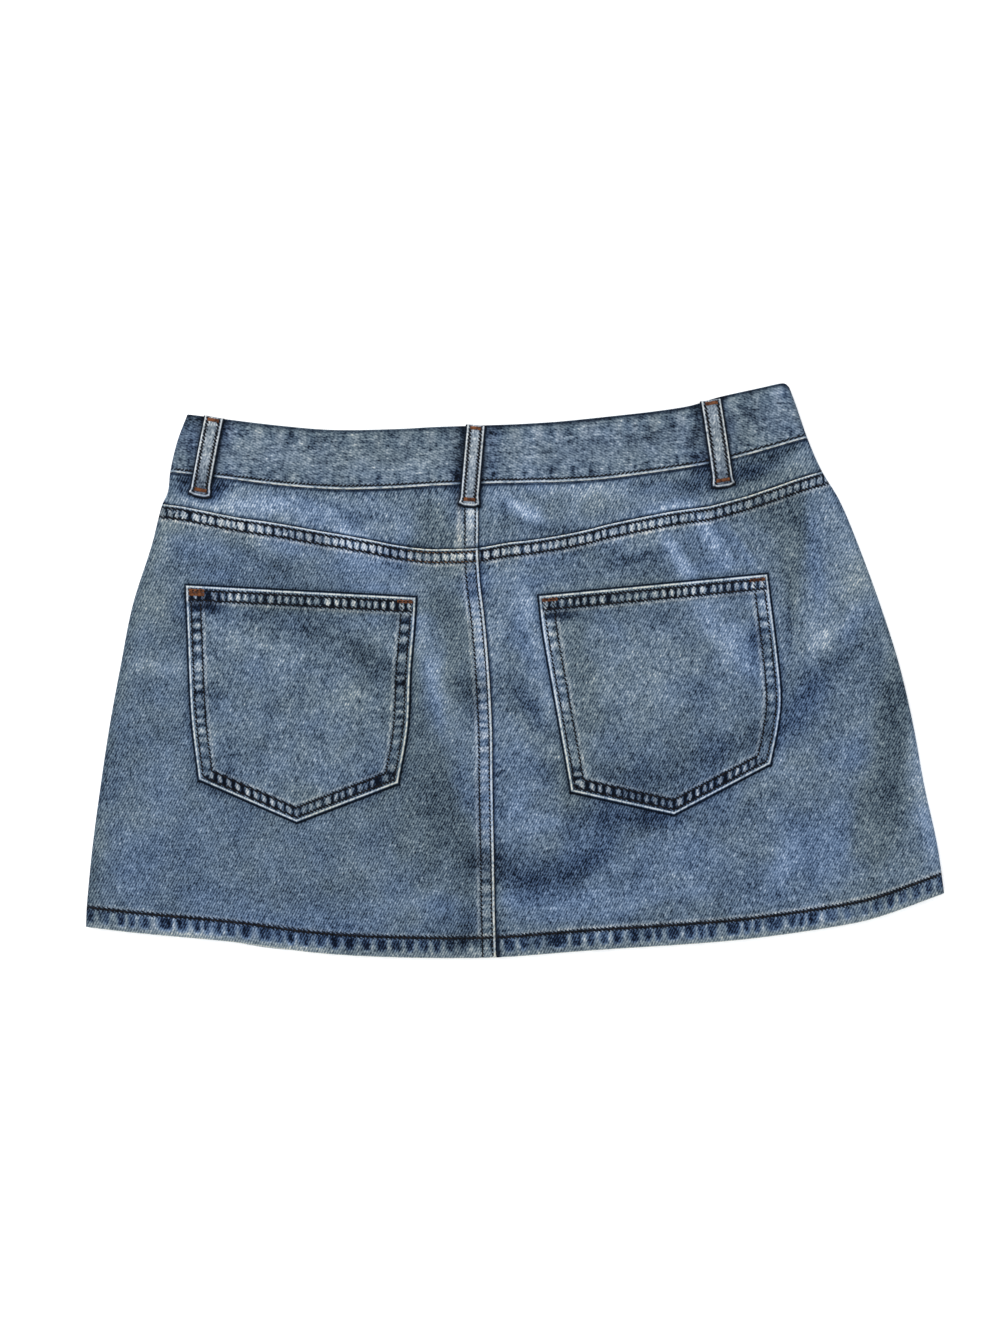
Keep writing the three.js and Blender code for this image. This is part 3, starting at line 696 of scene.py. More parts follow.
def panel_thickness(x, y):
    hem = strip(y - hem_edge(x), HEM_DEPTH)
    yoke = strip(yoke_seam(x) - y, YOKE_STRIP)
    return PLY + PLY * np.maximum(np.maximum(hem, yoke), centre_strip(x, y))


def yoke_thickness(x, y):
    return PLY + PLY * centre_strip(x, y)


def even(thickness):
    """A thickness that is the same all over a piece."""
    return lambda x, y: np.full_like(x, thickness)


def pocket_thickness(edges):
    top = edges[3]
    return lambda x, y: PLY + PLY * strip(top(x) - y, POCKET_HEM)


def front_thickness(x, y):
    return PLY + PLY * strip(y - front_hem(x), HEM_DEPTH)


def uneven(run, size, seed):
    """Smooth unevenness from -1 to 1 along a length."""
    values = np.random.default_rng(seed).uniform(-1, 1, UNEVEN_PLACES)
    place = run / size + UNEVEN_START
    whole = np.floor(place).astype(int)
    share = place - whole
    share = share * share * (3 - 2 * share)
    return mix(values[whole % UNEVEN_PLACES], values[(whole + 1) % UNEVEN_PLACES], share)


def bars(run, depth, period, slant, seed, sharpness=HOLLOW_SHARPNESS):
    """Puckers across a sewn strip, from -1 in a hollow to 1 on a crest, which cross each other."""
    shifted = run + 0.42 * period * uneven(run, 1.7 * period, seed)
    swell = 0.66 + 0.34 * uneven(run, 1.3 * period, seed + 1)
    crossing = []
    for lean in (slant, -slant):
        turn = 2 * math.pi * (shifted + lean * depth) / period
        crossing.append(1 - 2 * ((1 - np.sin(turn)) / 2) ** sharpness)
    return np.minimum(*crossing) * swell


def band_of(start, end, run, value):
    """1 between two depths, running out smoothly on both sides."""
    return ease(start - run, start + run, value) * (1 - ease(end - run, end + run, value))


# A station is (near, far, share, turn): so far past the first edge, or short of the second,
# or a share of the way between, and the angle round the side fold.
def past_first(offsets):
    return [(near, 0, 0, 0) for near in offsets]


def before_second(offsets):
    return [(0, far, 1, 0) for far in offsets]


def between(near, far, cells, first=0, last=1):
    return [(near, far, mix(first, last, i / cells), 0) for i in range(1, cells)]


def fold_turns():
    return [(0, 0, 1, i / FOLD_STEPS * math.pi / 2) for i in range(1, FOLD_STEPS + 1)]


def mirrored(stations):
    return [(far, near, 1 - share, turn) for near, far, share, turn in reversed(stations)]


def steps(cell, *knots):
    """Offsets from the first knot to the last through each one, about a cell apart."""
    offsets = [knots[0]]
    for start, end in zip(knots, knots[1:]):
        count = max(1, round(abs(end - start) / cell))
        offsets += [mix(start, end, i / count) for i in range(1, count + 1)]
    return offsets


def station_value(stations, low, high, fold_offset):
    near, far, share, turn = stations
    near = np.where((turn > 0) & (share == 0), fold_offset, near)
    far = np.where((turn > 0) & (share == 1), fold_offset, far)
    return mix(low + near, high - far, share)


def plan(edges, columns, rows, fold_offset=0):
    """Plan places of a grid of stations between a piece's four edges."""
    left, right, bottom, top = edges
    across = np.array(columns, float).T[:, None, :]
    up = np.array(rows, float).T[:, :, None]
    y = np.full((len(rows), len(columns)), float(bottom(0.0) + top(0.0)) / 2)
    x = np.zeros_like(y)
    for _ in range(PLAN_ROUNDS):
        x = station_value(across, left(y), right(y), fold_offset)
        y = station_value(up, bottom(x), top(x), 0)
    return x, y


def folded(edges, columns, rows, thickness_at, upper, lift_at=None):
    """Outer and inner skins of one layer, which curls towards the other at a side fold."""
    turn = np.array(columns, float)[:, 3][None, :]
    flat_x, flat_y = plan(edges, columns, rows, FOLD_RADIUS)
    thickness = thickness_at(flat_x, flat_y)
    skins = []
    for inside in (False, True):
        radius = FOLD_RADIUS - thickness * inside
        x, y = plan(edges, columns, rows, FOLD_RADIUS - radius * np.sin(turn))
        if upper:
            flat = upper_under(x, y, thickness) + thickness * (not inside)
            turned = FOLD_HEIGHT - FOLD_RADIUS + radius * np.cos(turn)
        else:
            flat = lift_at(x, y) + thickness * inside
            turned = FOLD_RADIUS - radius * np.cos(turn)
        skins.append(np.stack([x, y, np.where(turn > 0, turned, flat)], axis=-1))
    return skins


def laid(edges, columns, rows, under_at, thickness_at):
    """Upper and lower skins of a piece that lies on another."""
    x, y = plan(edges, columns, rows)
    under = under_at(x, y)
    return [
        np.stack([x, y, under + thickness_at(x, y)], axis=-1),
        np.stack([x, y, under], axis=-1),
    ]


def rimmed(skins, side, bottom, top):
    """Two skins, the lower one a little larger, so that its rolled edge shows as a painted shadow
    line.
    """
    lower = skins[1]
    lower[:, 0, 0] -= side
    lower[:, -1, 0] += side
    lower[0, :, 1] -= bottom
    lower[-1, :, 1] += top
    return skins


# The sewn rows on each cloth piece, by the piece's node
SEWN = {}


def make_wall(node, skins, looks, finish, flipped=False, rim=0.0):
    """A closed cloth wall between two skins, with its looks kept on its points."""
    name = f"cloth_{node}"
    outer, inner = skins
    row_count, column_count = outer.shape[:2]
    bm = bmesh.new()
    bmesh.ops.create_grid(bm, x_segments=column_count - 1, y_segments=row_count - 1, size=1)
    made = bmesh.ops.extrude_face_region(bm, geom=bm.faces[:], use_keep_orig=True)
    copied = [item for item in made["geom"] if isinstance(item, bmesh.types.BMVert)]
    bmesh.ops.translate(bm, verts=copied, vec=(0, 0, -1))
    bmesh.ops.recalc_face_normals(bm, faces=bm.faces[:])
    mesh = bpy.data.meshes.new(name)
    bm.to_mesh(mesh)
    bm.free()
    places = np.empty(len(mesh.vertices) * 3)
    mesh.vertices.foreach_get("co", places)
    places = places.reshape(-1, 3)
    column = np.rint((places[:, 0] + 1) / 2 * (column_count - 1)).astype(int)
    row = np.rint((places[:, 1] + 1) / 2 * (row_count - 1)).astype(int)
    is_inner = places[:, 2] < -0.5
    moved = np.where(is_inner[:, None], inner[row, column], outer[row, column])
    mesh.vertices.foreach_set("co", moved.astype(np.float32).ravel())
    for look, values in looks.items():
        kind = "FLOAT_VECTOR" if values.ndim == 3 else "FLOAT"
        field = "vector" if values.ndim == 3 else "value"
        spread_out = values[row, column]
        if look == "light":
            spread_out = spread_out + INSIDE_LIGHT * is_inner
        # A rimmed piece's lower skin carries a painted shadow line round its edge
        if look == "dark":
            spread_out = np.maximum(spread_out, rim * is_inner)
        attribute = mesh.attributes.new(look, kind, "POINT")
        attribute.data.foreach_set(field, spread_out.astype(np.float32).ravel())
    if flipped:
        mesh.flip_normals()
    mesh.shade_smooth()
    mesh.materials.append(finish)
    piece = bpy.data.objects.new(name, mesh)
    bpy.context.scene.collection.objects.link(piece)
    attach(piece, "root")
    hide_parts(node)


NOISE_SPREAD = 3.4


class Shade:
    """A socket of a material's nodes. Arithmetic on shades adds Math nodes."""

    def __init__(self, tree, socket=None):
        self.tree = tree
        self.socket = socket

    def node(self, kind, settings=None, inputs=None, output=0):
        """Any node: its settings first, then the values or shades of its inputs."""
        made = self.tree.nodes.new("ShaderNode" + kind)
        for name, value in (settings or {}).items():
            if name == "stops":
                set_stops(made.color_ramp, value)
            else:
                setattr(made, name, value)
        for name, value in (inputs or {}).items():
            if isinstance(value, Shade):
                self.tree.links.new(value.socket, made.inputs[name])
            else:
                made.inputs[name].default_value = value
        return Shade(self.tree, made.outputs[output] if made.outputs else None)

    def maths(self, operation, *others):
        return self.node("Math", {"operation": operation}, dict(enumerate((self, *others))))

    def __add__(self, other):
        return self.maths("ADD", other)

    __radd__ = __add__

    def __sub__(self, other):
        return self.maths("SUBTRACT", other)

    def __rsub__(self, other):
        return self * -1 + other

    def __mul__(self, other):
        return self.maths("MULTIPLY", other)

    __rmul__ = __mul__

    def sine(self):
        return self.maths("SINE")

    def rising(self, start, end):
        """0 before start, 1 past end, smooth between."""
        settings = {"interpolation_type": "SMOOTHSTEP"}
        inputs = {"Value": self, "From Min": start, "From Max": end}
        return self.node("MapRange", settings, inputs)

    def falling(self, start, end):
        return 1 - self.rising(start, end)

    def toward(self, other, share):
        return self + (other - self) * share

    def attribute(self, name, output="Fac"):
        return self.node("Attribute", {"attribute_name": name}, output=output)

    def grain(self, size, detail=2.0, stretch=None):
        """Noise from about -1 to 1 on this vector, with grains of a size in metres."""
        place = self
        if stretch:
            place = self.node("VectorMath", {"operation": "MULTIPLY"}, {0: self, 1: stretch})
        inputs = {"Vector": place, "Scale": 1 / size, "Detail": detail, "Roughness": 0.55}
        noise = self.node("TexNoise", {"noise_dimensions": "3D"}, inputs)
        return (noise - 0.5) * NOISE_SPREAD


def set_stops(ramp, stops):
    while len(ramp.elements) < len(stops):
        ramp.elements.new(0.5)
    for element, (position, colour) in zip(ramp.elements, stops):
        element.position = position
        element.color = linear(*colour)


def linear(red, green, blue):
    """A colour of 0 to 255 as the light it stands for."""
    levels = []
    for value in (red, green, blue):
        share = value / 255
        levels.append(share / 12.92 if share < 0.04045 else ((share + 0.055) / 1.055) ** 2.4)
    return (*levels, 1.0)


# Washed indigo from its darkest to where it is worn through to the white yarn
INDIGO = [
    (0.0, (10, 16, 27)),
    (0.14, (30, 42, 61)),
    (0.3, (61, 77, 98)),
    (0.5, (95, 113, 132)),
    (0.7, (128, 144, 162)),
    (0.86, (165, 177, 189)),
    (1.0, (212, 216, 218)),
]
TWILL_PITCH = 1.85 * MM
THREAD_PITCH = 2.7 * MM
TWILL_LEAN = 0.577


def new_finish(name):
    finish = bpy.data.materials.new(name)
    finish.use_nodes = True
    finish.node_tree.nodes.clear()
    return finish, Shade(finish.node_tree)


def finish_off(finish, start, colour, roughness, bump, gloss=0.5, metallic=0.0):
    """The surface shader at the end of a finish."""
    inputs = {
        "Base Color": colour,
        "Roughness": roughness,
        "Metallic": metallic,
        "Specular IOR Level": gloss,
        "Normal": bump,
    }
    shader = start.node("BsdfPrincipled", None, inputs)
    start.node("OutputMaterial", None, {"Surface": shader})
    return finish


def two_tone(start, share, dark, pale):
    """A colour that runs from dark to pale as the share runs from 0 to 1."""
    inputs = {"Factor": share.rising(0, 1), 6: linear(*dark), 7: linear(*pale)}
    return start.node("Mix", {"data_type": "RGBA"}, inputs, 2)


def bump_of(start, strength, distance, height):
    inputs = {"Strength": strength, "Distance": distance, "Height": height}
    return start.node("Bump", None, inputs)


def denim(name, level, streaks=0.13, whiteness=0.0, edge_width=1.3 * MM, ribs=0.16, mottle=0.085):
    """Washed twill. The level is its middle shade, and the whiteness greys it."""
    finish, start = new_finish(name)
    cloth = start.attribute("cloth", "Vector")
    across = cloth.node("SeparateXYZ", None, {"Vector": cloth})
    along = Shade(start.tree, across.socket.node.outputs[1])
    waver = cloth.grain(6 * MM) * 0.9
    fleck = cloth.grain(1.5 * MM, 1.0)
    speck = cloth.grain(2.7 * MM, 1.0)
    twill = ((across - along * TWILL_LEAN) * (2 * math.pi / TWILL_PITCH) + waver).sine()
    slub = cloth.grain(0.9 * MM, 1.0, (1, 0.12, 1))
    blotch = cloth.grain(6 * MM, 2.0)
    cloud = cloth.grain(19 * MM, 2.5)
    drift = cloth.grain(70 * MM, 1.5)
    # The light attribute is the wash's lightness together with painted shade on the folds and
    # beside the seams
    light = start.attribute("light")
    pucker = start.attribute("pucker")
    tint = start.attribute("tint")
    weave = twill * ribs + fleck * 0.23 + speck * 0.12 + slub * streaks
    wash = blotch * mottle + cloud * 0.09 + drift * 0.06
    # Pucker crests are lighter where worn, and hollows are darker, partly deeper blue and partly
    # painted shade
    hollow = pucker.maths("MINIMUM", 0.0)
    shade = weave + wash + light * 2 + level + pucker * 0.4 + hollow * 0.3
    # Near black along the stitch rows: the thread's own colour, and painted shadow round the thread
    # and its holes
    row = start.attribute("row")
    teeth = ((across + along) * (2 * math.pi / THREAD_PITCH) + waver * 0.7).sine()
    stitched = (row + fleck * (0.3 * MM) - teeth * (0.65 * MM)).falling(0.5 * MM, 1.35 * MM)
    shade = shade.toward(fleck * 0.06 + 0.02, stitched * (speck * 0.2 + 0.92))
    edge = start.attribute("edge") + fleck * (0.25 * MM) + speck * (0.2 * MM)
    worn = edge.falling(edge_width * 0.5, edge_width * 1.2) * (speck * 0.35 + 0.88)
    shade = shade.toward(weave * 0.5 + 1.02, worn)
    # The dark attribute is painted shade and shadow, towards near black
    dark = start.attribute("dark").maths("MINIMUM", 0.96)
    shade = shade.toward(fleck * 0.08 + 0.03, dark)
    colour = start.node("ValToRGB", {"stops": INDIGO}, {"Fac": shade})
    hue = (tint * 0.6 + cloth.grain(24 * MM, 2.0) * 0.22 + speck * 0.05 + 0.425).rising(0, 1)
    hues = {"Factor": hue, 6: (1.05, 1.01, 0.88, 1), 7: (0.89, 0.98, 1.15, 1)}
    hue_colour = start.node("Mix", {"data_type": "RGBA"}, hues, 2)
    tinted = start.node(
        "Mix",
        {"data_type": "RGBA", "blend_type": "MULTIPLY"},
        {"Factor": 1.0, 6: colour, 7: hue_colour},
        2,
    )
    saturation = 1 - whiteness - pucker.maths("MAXIMUM", 0.0) * 0.45 - stitched * 0.25
    greyed = start.node("HueSaturation", None, {"Saturation": saturation, "Color": tinted})
    height = twill * 0.5 + fleck * 0.5 + slub * 0.3 + speck * 0.3
    bump = bump_of(start, 0.5, 0.12 * MM, height)
    roughness = (fleck * 0.05 + 0.88).maths("MINIMUM", 1.0)
    return finish_off(finish, start, greyed, roughness, bump, gloss=0.05)


def sewing_thread(name, dark, pale, share):
    """Twisted thread that varies from one stitch to the next."""
    finish, start = new_finish(name)
    place = start.node("TexCoord", output=3)
    colour = two_tone(start, place.grain(2.4 * MM, 1.0) * 0.5 + share, dark, pale)
    twist = place.grain(0.35 * MM, 1.0)
    bump = bump_of(start, 0.6, 0.1 * MM, twist)
    return finish_off(finish, start, colour, 0.62 + twist * 0.05, bump, gloss=0.12)


PANEL_DENIM = denim("denim_panel", 0.448)
YOKE_DENIM = denim("denim_yoke", 0.498)
BAND_DENIM = denim("denim_band", 0.468, 0.22, 0.04, 1.5 * MM, 0.08)
POCKET_DENIM = denim("denim_pocket", 0.458, edge_width=1 * MM, mottle=0.06)
LOOP_DENIM = denim("denim_loop", 0.74, 0.2, 0.25, 0.85 * MM, 0.06)
DARK_THREAD = sewing_thread("dark_thread", (6, 6, 10), (50, 42, 40), 0.26)
BROWN_THREAD = sewing_thread("brown_thread", (40, 30, 26), (122, 94, 68), 0.42)
RUST_THREAD = sewing_thread("rust_thread", (66, 40, 29), (142, 90, 58), 0.45)


def outline_of(edges):
    """The closed plan outline of a piece."""
    around = np.linspace(0, 1, OUTLINE_POINTS)
    ends = [(0, 0, 0, 0), (0, 0, 1, 0)]
    free = [(0, 0, share, 0) for share in around]
    sides = [plan(edges, [end], free) for end in ends]
    caps = [plan(edges, free, [end]) for end in ends]
    runs = [np.stack([x.ravel(), y.ravel()], -1) for x, y in (*sides, *caps)]
    return np.concatenate(runs)


def away_from(points, x, y):
    """Distance from each place to the nearest of some points."""
    nearest = np.full(x.shape, FAR)
    for px, py in points:
        nearest = np.minimum(nearest, np.hypot(x - px, y - py))
    return nearest


def pocket_edges(pocket):
    left, right = scaled(pocket["left"]), scaled(pocket["right"])
    tip_x, tip_y = np.array(pocket["tip"]) * MM
    start, end = left[-1], right[-1]

    def bottom(x):
        before = mix(tip_y, left[0][1], (x - tip_x) / (left[0][0] - tip_x))
        after = mix(tip_y, right[0][1], (x - tip_x) / (right[0][0] - tip_x))
        return np.where(x < tip_x, before, after)

    def top(x):
        return mix(start[1], end[1], (x - start[0]) / (end[0] - start[0]))

    return upright(pocket["left"]), upright(pocket["right"]), bottom, top


def loop_edges(loop):
    slope = (loop["top_x"] - loop["bottom_x"]) / (loop["top_y"] - loop["bottom_y"])

    def middle(y):
        return loop["bottom_x"] + slope * (y - loop["bottom_y"])

    def half(y):
        return loop["width"] / 2 + LOOP_FLARE * (1 - ease(0, LOOP_FLARE_RUN, y - loop["bottom_y"]))

    return (
        lambda y: middle(y) - half(y),
        lambda y: middle(y) + half(y),
        lambda x: loop["bottom_y"] - slope * (x - loop["bottom_x"]),
        lambda x: loop["top_y"] - slope * (x - loop["top_x"]),
    )


POCKET_EDGES = {name: pocket_edges(pocket) for name, pocket in POCKETS.items()}
LOOP_EDGES = {loop["name"]: loop_edges(loop) for loop in LOOPS}


def looks_of(x, y, edge, row, pucker, dark, seed, crosswise=False, tint=0.0):
    """What the finish reads at each point of a piece."""
    turned = (y, -x) if crosswise else (x, y)
    cloth = np.stack([*turned, np.full_like(x, seed * 0.37)], axis=-1)
    return {
        "cloth": cloth,
        "light": total(PATCHES, "light", x, y),
        "tint": total(PATCHES, "tint", x, y) + tint,
        "edge": edge,
        "row": row,
        "pucker": pucker,
        "dark": dark,
    }


def nearest_row(depth, rows):
    return np.min([np.abs(depth - row) for row in rows], axis=0)


def back_places(x, y):
    """Distances that the back's looks and relief are worked out from."""
    return {
        "hem": y - hem_edge(x),
        "below_yoke": yoke_seam(x) - y,
        "below_band": band_seam(x) - y,
        "below_waist": waist_edge(x) - y,
        "centre": centre_seam(y) - x,
    }


PUCKER_RISE = 0.42 * MM
ROW_DIP = 0.3 * MM
RIDGE_PAST = 1.9 * MM
SIDE_SHADE = 0.25
FAINT_ROW = 0.55 * MM
EDGE_DROP = 0.35 * MM


def relief(pucker, row, edge):
    """How far puckers, stitch rows and rounded edges move a skin."""
    return (
        PUCKER_RISE * pucker
        - ROW_DIP * hump(0.9 * MM, row)
        - EDGE_DROP * hump(0.7 * MM, edge)
    )


def hem_puckers(x, hem):
    return bars(x, hem, 9.6 * MM, 0.12, 21, 1) + 0.4 * bars(x, hem, 5.7 * MM, 0.1, 23, 1)


def panel_hue_and_side_shade(x, y):
    """Deeper blue in the hollows along the hem and less blue at the hem's edge; less blue at the
    left side's edge as painted shade where the cloth turns down.
    """
    hem = y - hem_edge(x)
    hollows = np.clip(-hem_puckers(x, hem), 0, 1) * band_of(3 * MM, 12 * MM, 1.5 * MM, hem)
    return hollows - 0.7 * hump(4 * MM, hem) - 0.5 * hump(6 * MM, x - left_side(y))


def panel_looks(x, y, left):
    """Pucker, nearest stitch row, worn edge and painted shade on a back panel."""
    at = back_places(x, y)
    yoke, hem, centre = at["below_yoke"], at["hem"], at["centre"]
    crest = mix(0.85, 0.5, ease(30 * MM, 120 * MM, x))
    yoke_bars = 1.7 * bars(x, yoke - 5.5 * MM, 5.3 * MM, 0.14, 11, 3) + 0.3
    yoke_bars = np.clip(yoke_bars, -1, crest * (0.8 + 0.2 * uneven(x, 5 * MM, 15)))
    pucker = yoke_bars * band_of(2.2 * MM, 9 * MM, 0.5 * MM, yoke)
    pucker += 0.3 * yoke_bars * band_of(11.5 * MM, 15 * MM, 2 * MM, yoke)
    pucker += (0.5 + 0.3 * uneven(x, 4 * MM, 13)) * hump(1 * MM, yoke - RIDGE_PAST - YOKE_ROWS[1])
    hem_bars = hem_puckers(x, hem)
    pucker += (0.66 * hem_bars + 0.05) * band_of(4.4 * MM, 11.8 * MM, 1.4 * MM, hem)
    pucker += 0.22 * band_of(0.4 * MM, 3.8 * MM, 0.8 * MM, hem)
    pucker += (0.24 * hem_bars + 0.1) * band_of(15 * MM, 20 * MM, 2 * MM, hem)
    pucker += (0.3 + 0.3 * ease(-40 * MM, 60 * MM, x)) * hump(1.1 * MM, hem - RIDGE_PAST - HEM_ROW)
    edge = np.minimum(yoke, hem + 0.6 * MM)
    row = np.minimum(nearest_row(yoke, YOKE_ROWS), nearest_row(hem, (HEM_ROW,)) - 0.35 * MM)
    dark = np.zeros_like(x)
    clear = ease(11 * MM, 13 * MM, yoke) * ease(12 * MM, 14 * MM, hem)
    if left:
        inner = 0.15 + 0.5 * bars(y, centre - 6 * MM, 7 * MM, 0.2, 31)
        inner *= band_of(2 * MM, 8.8 * MM, 0.8 * MM, centre)
        pucker += (inner + 0.5 * hump(1 * MM, centre - RIDGE_PAST - CENTRE_ROWS[1])) * clear
        edge = np.minimum(edge, centre - 0.5 * MM)
        row = np.minimum(row, nearest_row(centre, CENTRE_ROWS) + FAINT_ROW)
    else:
        gap = -centre
        pucker += 0.25 * bars(y, gap, 7 * MM, 0.3, 35) * band_of(0, 8 * MM, 3 * MM, gap) * clear
        at_hem = 1 - ease(13 * MM, 18 * MM, hem)
        # Painted shadow beside the left panel's lapped edge, deeper near the hem
        dark += hump(1.5 * MM, gap) + 2 * hump(2.4 * MM, gap) * at_hem
    for name, edges in POCKET_EDGES.items():
        if (name == "left") == left:
            gap = away_from(outline_of(edges), x, y)
            # Painted shadow round the pocket's edge
            dark += 0.6 * hump(2.6 * MM, gap)
    dark += SIDE_SHADE * hump(4 * MM, inside_side(x, y))
    return pucker, row, edge, np.clip(dark, 0, DARKEST)


def yoke_looks(x, y, left):
    at = back_places(x, y)
    band, yoke, centre = at["below_band"], -at["below_yoke"], at["centre"]
    pucker = 0.4 * bars(x, band, 6.4 * MM, 0.4, 41) * band_of(2 * MM, 6 * MM, 2.5 * MM, band)
    pucker += 0.25 * bars(x, yoke, 5.2 * MM, 0.2, 43) * band_of(1 * MM, 5 * MM, 2 * MM, yoke)
    edge = np.full_like(x, 0.02)
    row = np.full_like(x, 0.02)
    # Painted shadow on the yoke below the band's lapped edge and above the panel's lapped edge,
    # uneven along its length
    shadow_waver = 0.85 + 0.25 * uneven(x, 5 * MM, 47)
    dark = 1.05 * hump(1 * MM, band - 0.9 * MM) + 0.95 * hump(1 * MM, yoke - 0.4 * MM)
    dark *= shadow_waver
    if left:
        inner = 0.8 + bars(y, centre - 6 * MM, 7 * MM, 0.2, 45)
        pucker += 0.42 * inner * band_of(2 * MM, 8.8 * MM, 0.8 * MM, centre)
        pucker += 0.8 * hump(1.7 * MM, centre - 12.6 * MM) * ease(0, 12 * MM, band)
        edge = centre - 0.4 * MM
        row = nearest_row(centre, CENTRE_ROWS) + FAINT_ROW
    else:
        # Painted shadow beside the left yoke's lapped edge
        dark += 0.7 * hump(1.3 * MM, -centre)
    dark += 0.85 * loop_shadow(x, y) + SIDE_SHADE * hump(4 * MM, inside_side(x, y))
    return pucker, row, edge, np.clip(dark, 0, DARKEST)


def loop_shadow(x, y):
    """Painted shadow beside the belt loops."""
    shadow = np.zeros_like(x)
    for edges in LOOP_EDGES.values():
        shadow += hump(2.5 * MM, away_from(outline_of(edges), x, y))
    return np.clip(shadow, 0, 1)


def band_looks(x, y):
    at = back_places(x, y)
    low, high = -at["below_band"], at["below_waist"]
    wide = bars(x, low, 10.5 * MM, 0, 51) + 0.5 * bars(x, low, 6.3 * MM, 0, 53)
    pucker = 0.4 * np.minimum(wide, 0.25) * band_of(3 * MM, 9.5 * MM, 2 * MM, low)
    pucker += 0.1 * band_of(12 * MM, 32 * MM, 3 * MM, low)
    pucker += 0.25 * bars(x, high, 15 * MM, 0.2, 55) * band_of(1 * MM, 12 * MM, 4 * MM, high)
    edge = np.minimum(low, high + 1.2 * MM)
    row = nearest_row(low, (BAND_ROW,)) + 0.3 * MM
    # Painted shade under the waist's rolled top edge, stronger towards the right
    dark = (0.6 + 0.25 * ease(-40 * MM, 20 * MM, x)) * hump(1.2 * MM, high - 1 * MM)
    dark += 0.9 * loop_shadow(x, y)
    dark += SIDE_SHADE * hump(4 * MM, inside_side(x, y))
    return pucker, row, edge, np.clip(dark, 0, DARKEST)


def pocket_looks(edges, x, y, seed):
    left, right, bottom, top = edges
    from_left, from_right = x - left(y), right(y) - x
    from_bottom, from_top = y - bottom(x), top(x) - y
    side = np.minimum(from_left, from_right)
    around = np.minimum(side, from_bottom)
    hem = 1.1 * bars(x, from_top - 5.7 * MM, 5.5 * MM, 0.16, seed, 1.5) - 0.05
    hem *= band_of(2.6 * MM, 9 * MM, 0.5 * MM, from_top)
    on_side = ease(-1 * MM, 1 * MM, from_bottom - side)
    side_bars = bars(y, side - 5.6 * MM, 7.5 * MM, 0.3, seed + 3, 1.6)
    side_bars *= 0.45 + 0.4 * uneven(y, 14 * MM, seed + 5)
    bottom_bars = 1.15 * bars(x, from_bottom - 5.6 * MM, 5.3 * MM, 0.16, seed + 7, 1.7) - 0.05
    below_hem = ease(11 * MM, 13 * MM, from_top)
    frame_bars = mix(bottom_bars, side_bars, on_side)
    frame_bars *= band_of(2.5 * MM, 8.8 * MM, 0.5 * MM, around) * below_hem
    ridges = hump(0.9 * MM, around - RIDGE_PAST - POCKET_SIDE_ROWS[1]) * below_hem
    ridges += hump(0.9 * MM, from_top - RIDGE_PAST - POCKET_HEM_ROWS[1])
    pucker = hem + frame_bars + 0.45 * ridges
    edge = np.minimum(around, from_top)
    side_row = nearest_row(around, POCKET_SIDE_ROWS) + FAINT_ROW * on_side
    row = np.minimum(side_row, nearest_row(from_top, POCKET_HEM_ROWS))
    # Painted shade just below the step of the pocket hem, near the pocket's ends
    under_hem = hump(2 * MM, from_top - 13.6 * MM)
    near_ends = hump(22 * MM, from_left) + 0.8 * hump(12 * MM, from_right)
    dark = 0.75 * under_hem * np.clip(near_ends, 0, 1) * ease(2 * MM, 3 * MM, side)
    return pucker, row, edge, np.clip(dark, 0, DARKEST)


def side_columns():
    offsets = steps(1.2 * MM, FOLD_REACH, FOLD_RADIUS)
    return before_second(offsets) + fold_turns()


def right_columns():
    gap = past_first(steps(1 * MM, HALF_SEAM, 8 * MM))
    return gap + between(8 * MM, FOLD_REACH, 150) + side_columns()


def left_columns():
    offsets = steps(ROW_CELL, HALF_SEAM, *CENTRE_ROWS, 12 * MM)[::-1]
    return mirrored(side_columns()) + between(FOLD_REACH, 12 * MM, 150) + before_second(offsets)


def fade_round_fold(skins, columns):
    """1 on the flat of a layer, 0 where it turns round the side fold."""
    x, y = skins[0][..., 0], skins[0][..., 1]
    turned = np.array(columns, float)[:, 3][None, :] > 0
    return np.where(turned, 0, ease(FOLD_RADIUS, 3 * FOLD_RADIUS, inside_side(x, y)))


def dress_back(node, skins, columns, looks, finish, seed, crosswise=False, tint=0.0):
    """A back piece with its relief and looks."""
    x, y = skins[0][..., 0], skins[0][..., 1]
    pucker, row, edge, dark = looks
    skins[0][..., 2] += relief(pucker, row, edge) * fade_round_fold(skins, columns)
    kept = looks_of(x, y, edge, row, pucker, dark, seed, crosswise, tint=tint)
    make_wall(node, skins, kept, finish)


# The left, right, bottom and top edges of the back's pieces, and their columns
PANEL_EDGES = {
    "left": (left_side, centre_seam, hem_edge, yoke_seam),
    "right": (centre_seam, right_side, hem_edge, yoke_seam),
}
YOKE_EDGES = {
    "left": (left_side, centre_seam, yoke_seam, band_seam),
    "right": (centre_seam, right_side, yoke_seam, band_seam),
}
BAND_EDGES = (left_side, right_side, band_seam, waist_edge)
COLUMNS = {"left": left_columns(), "right": right_columns()}


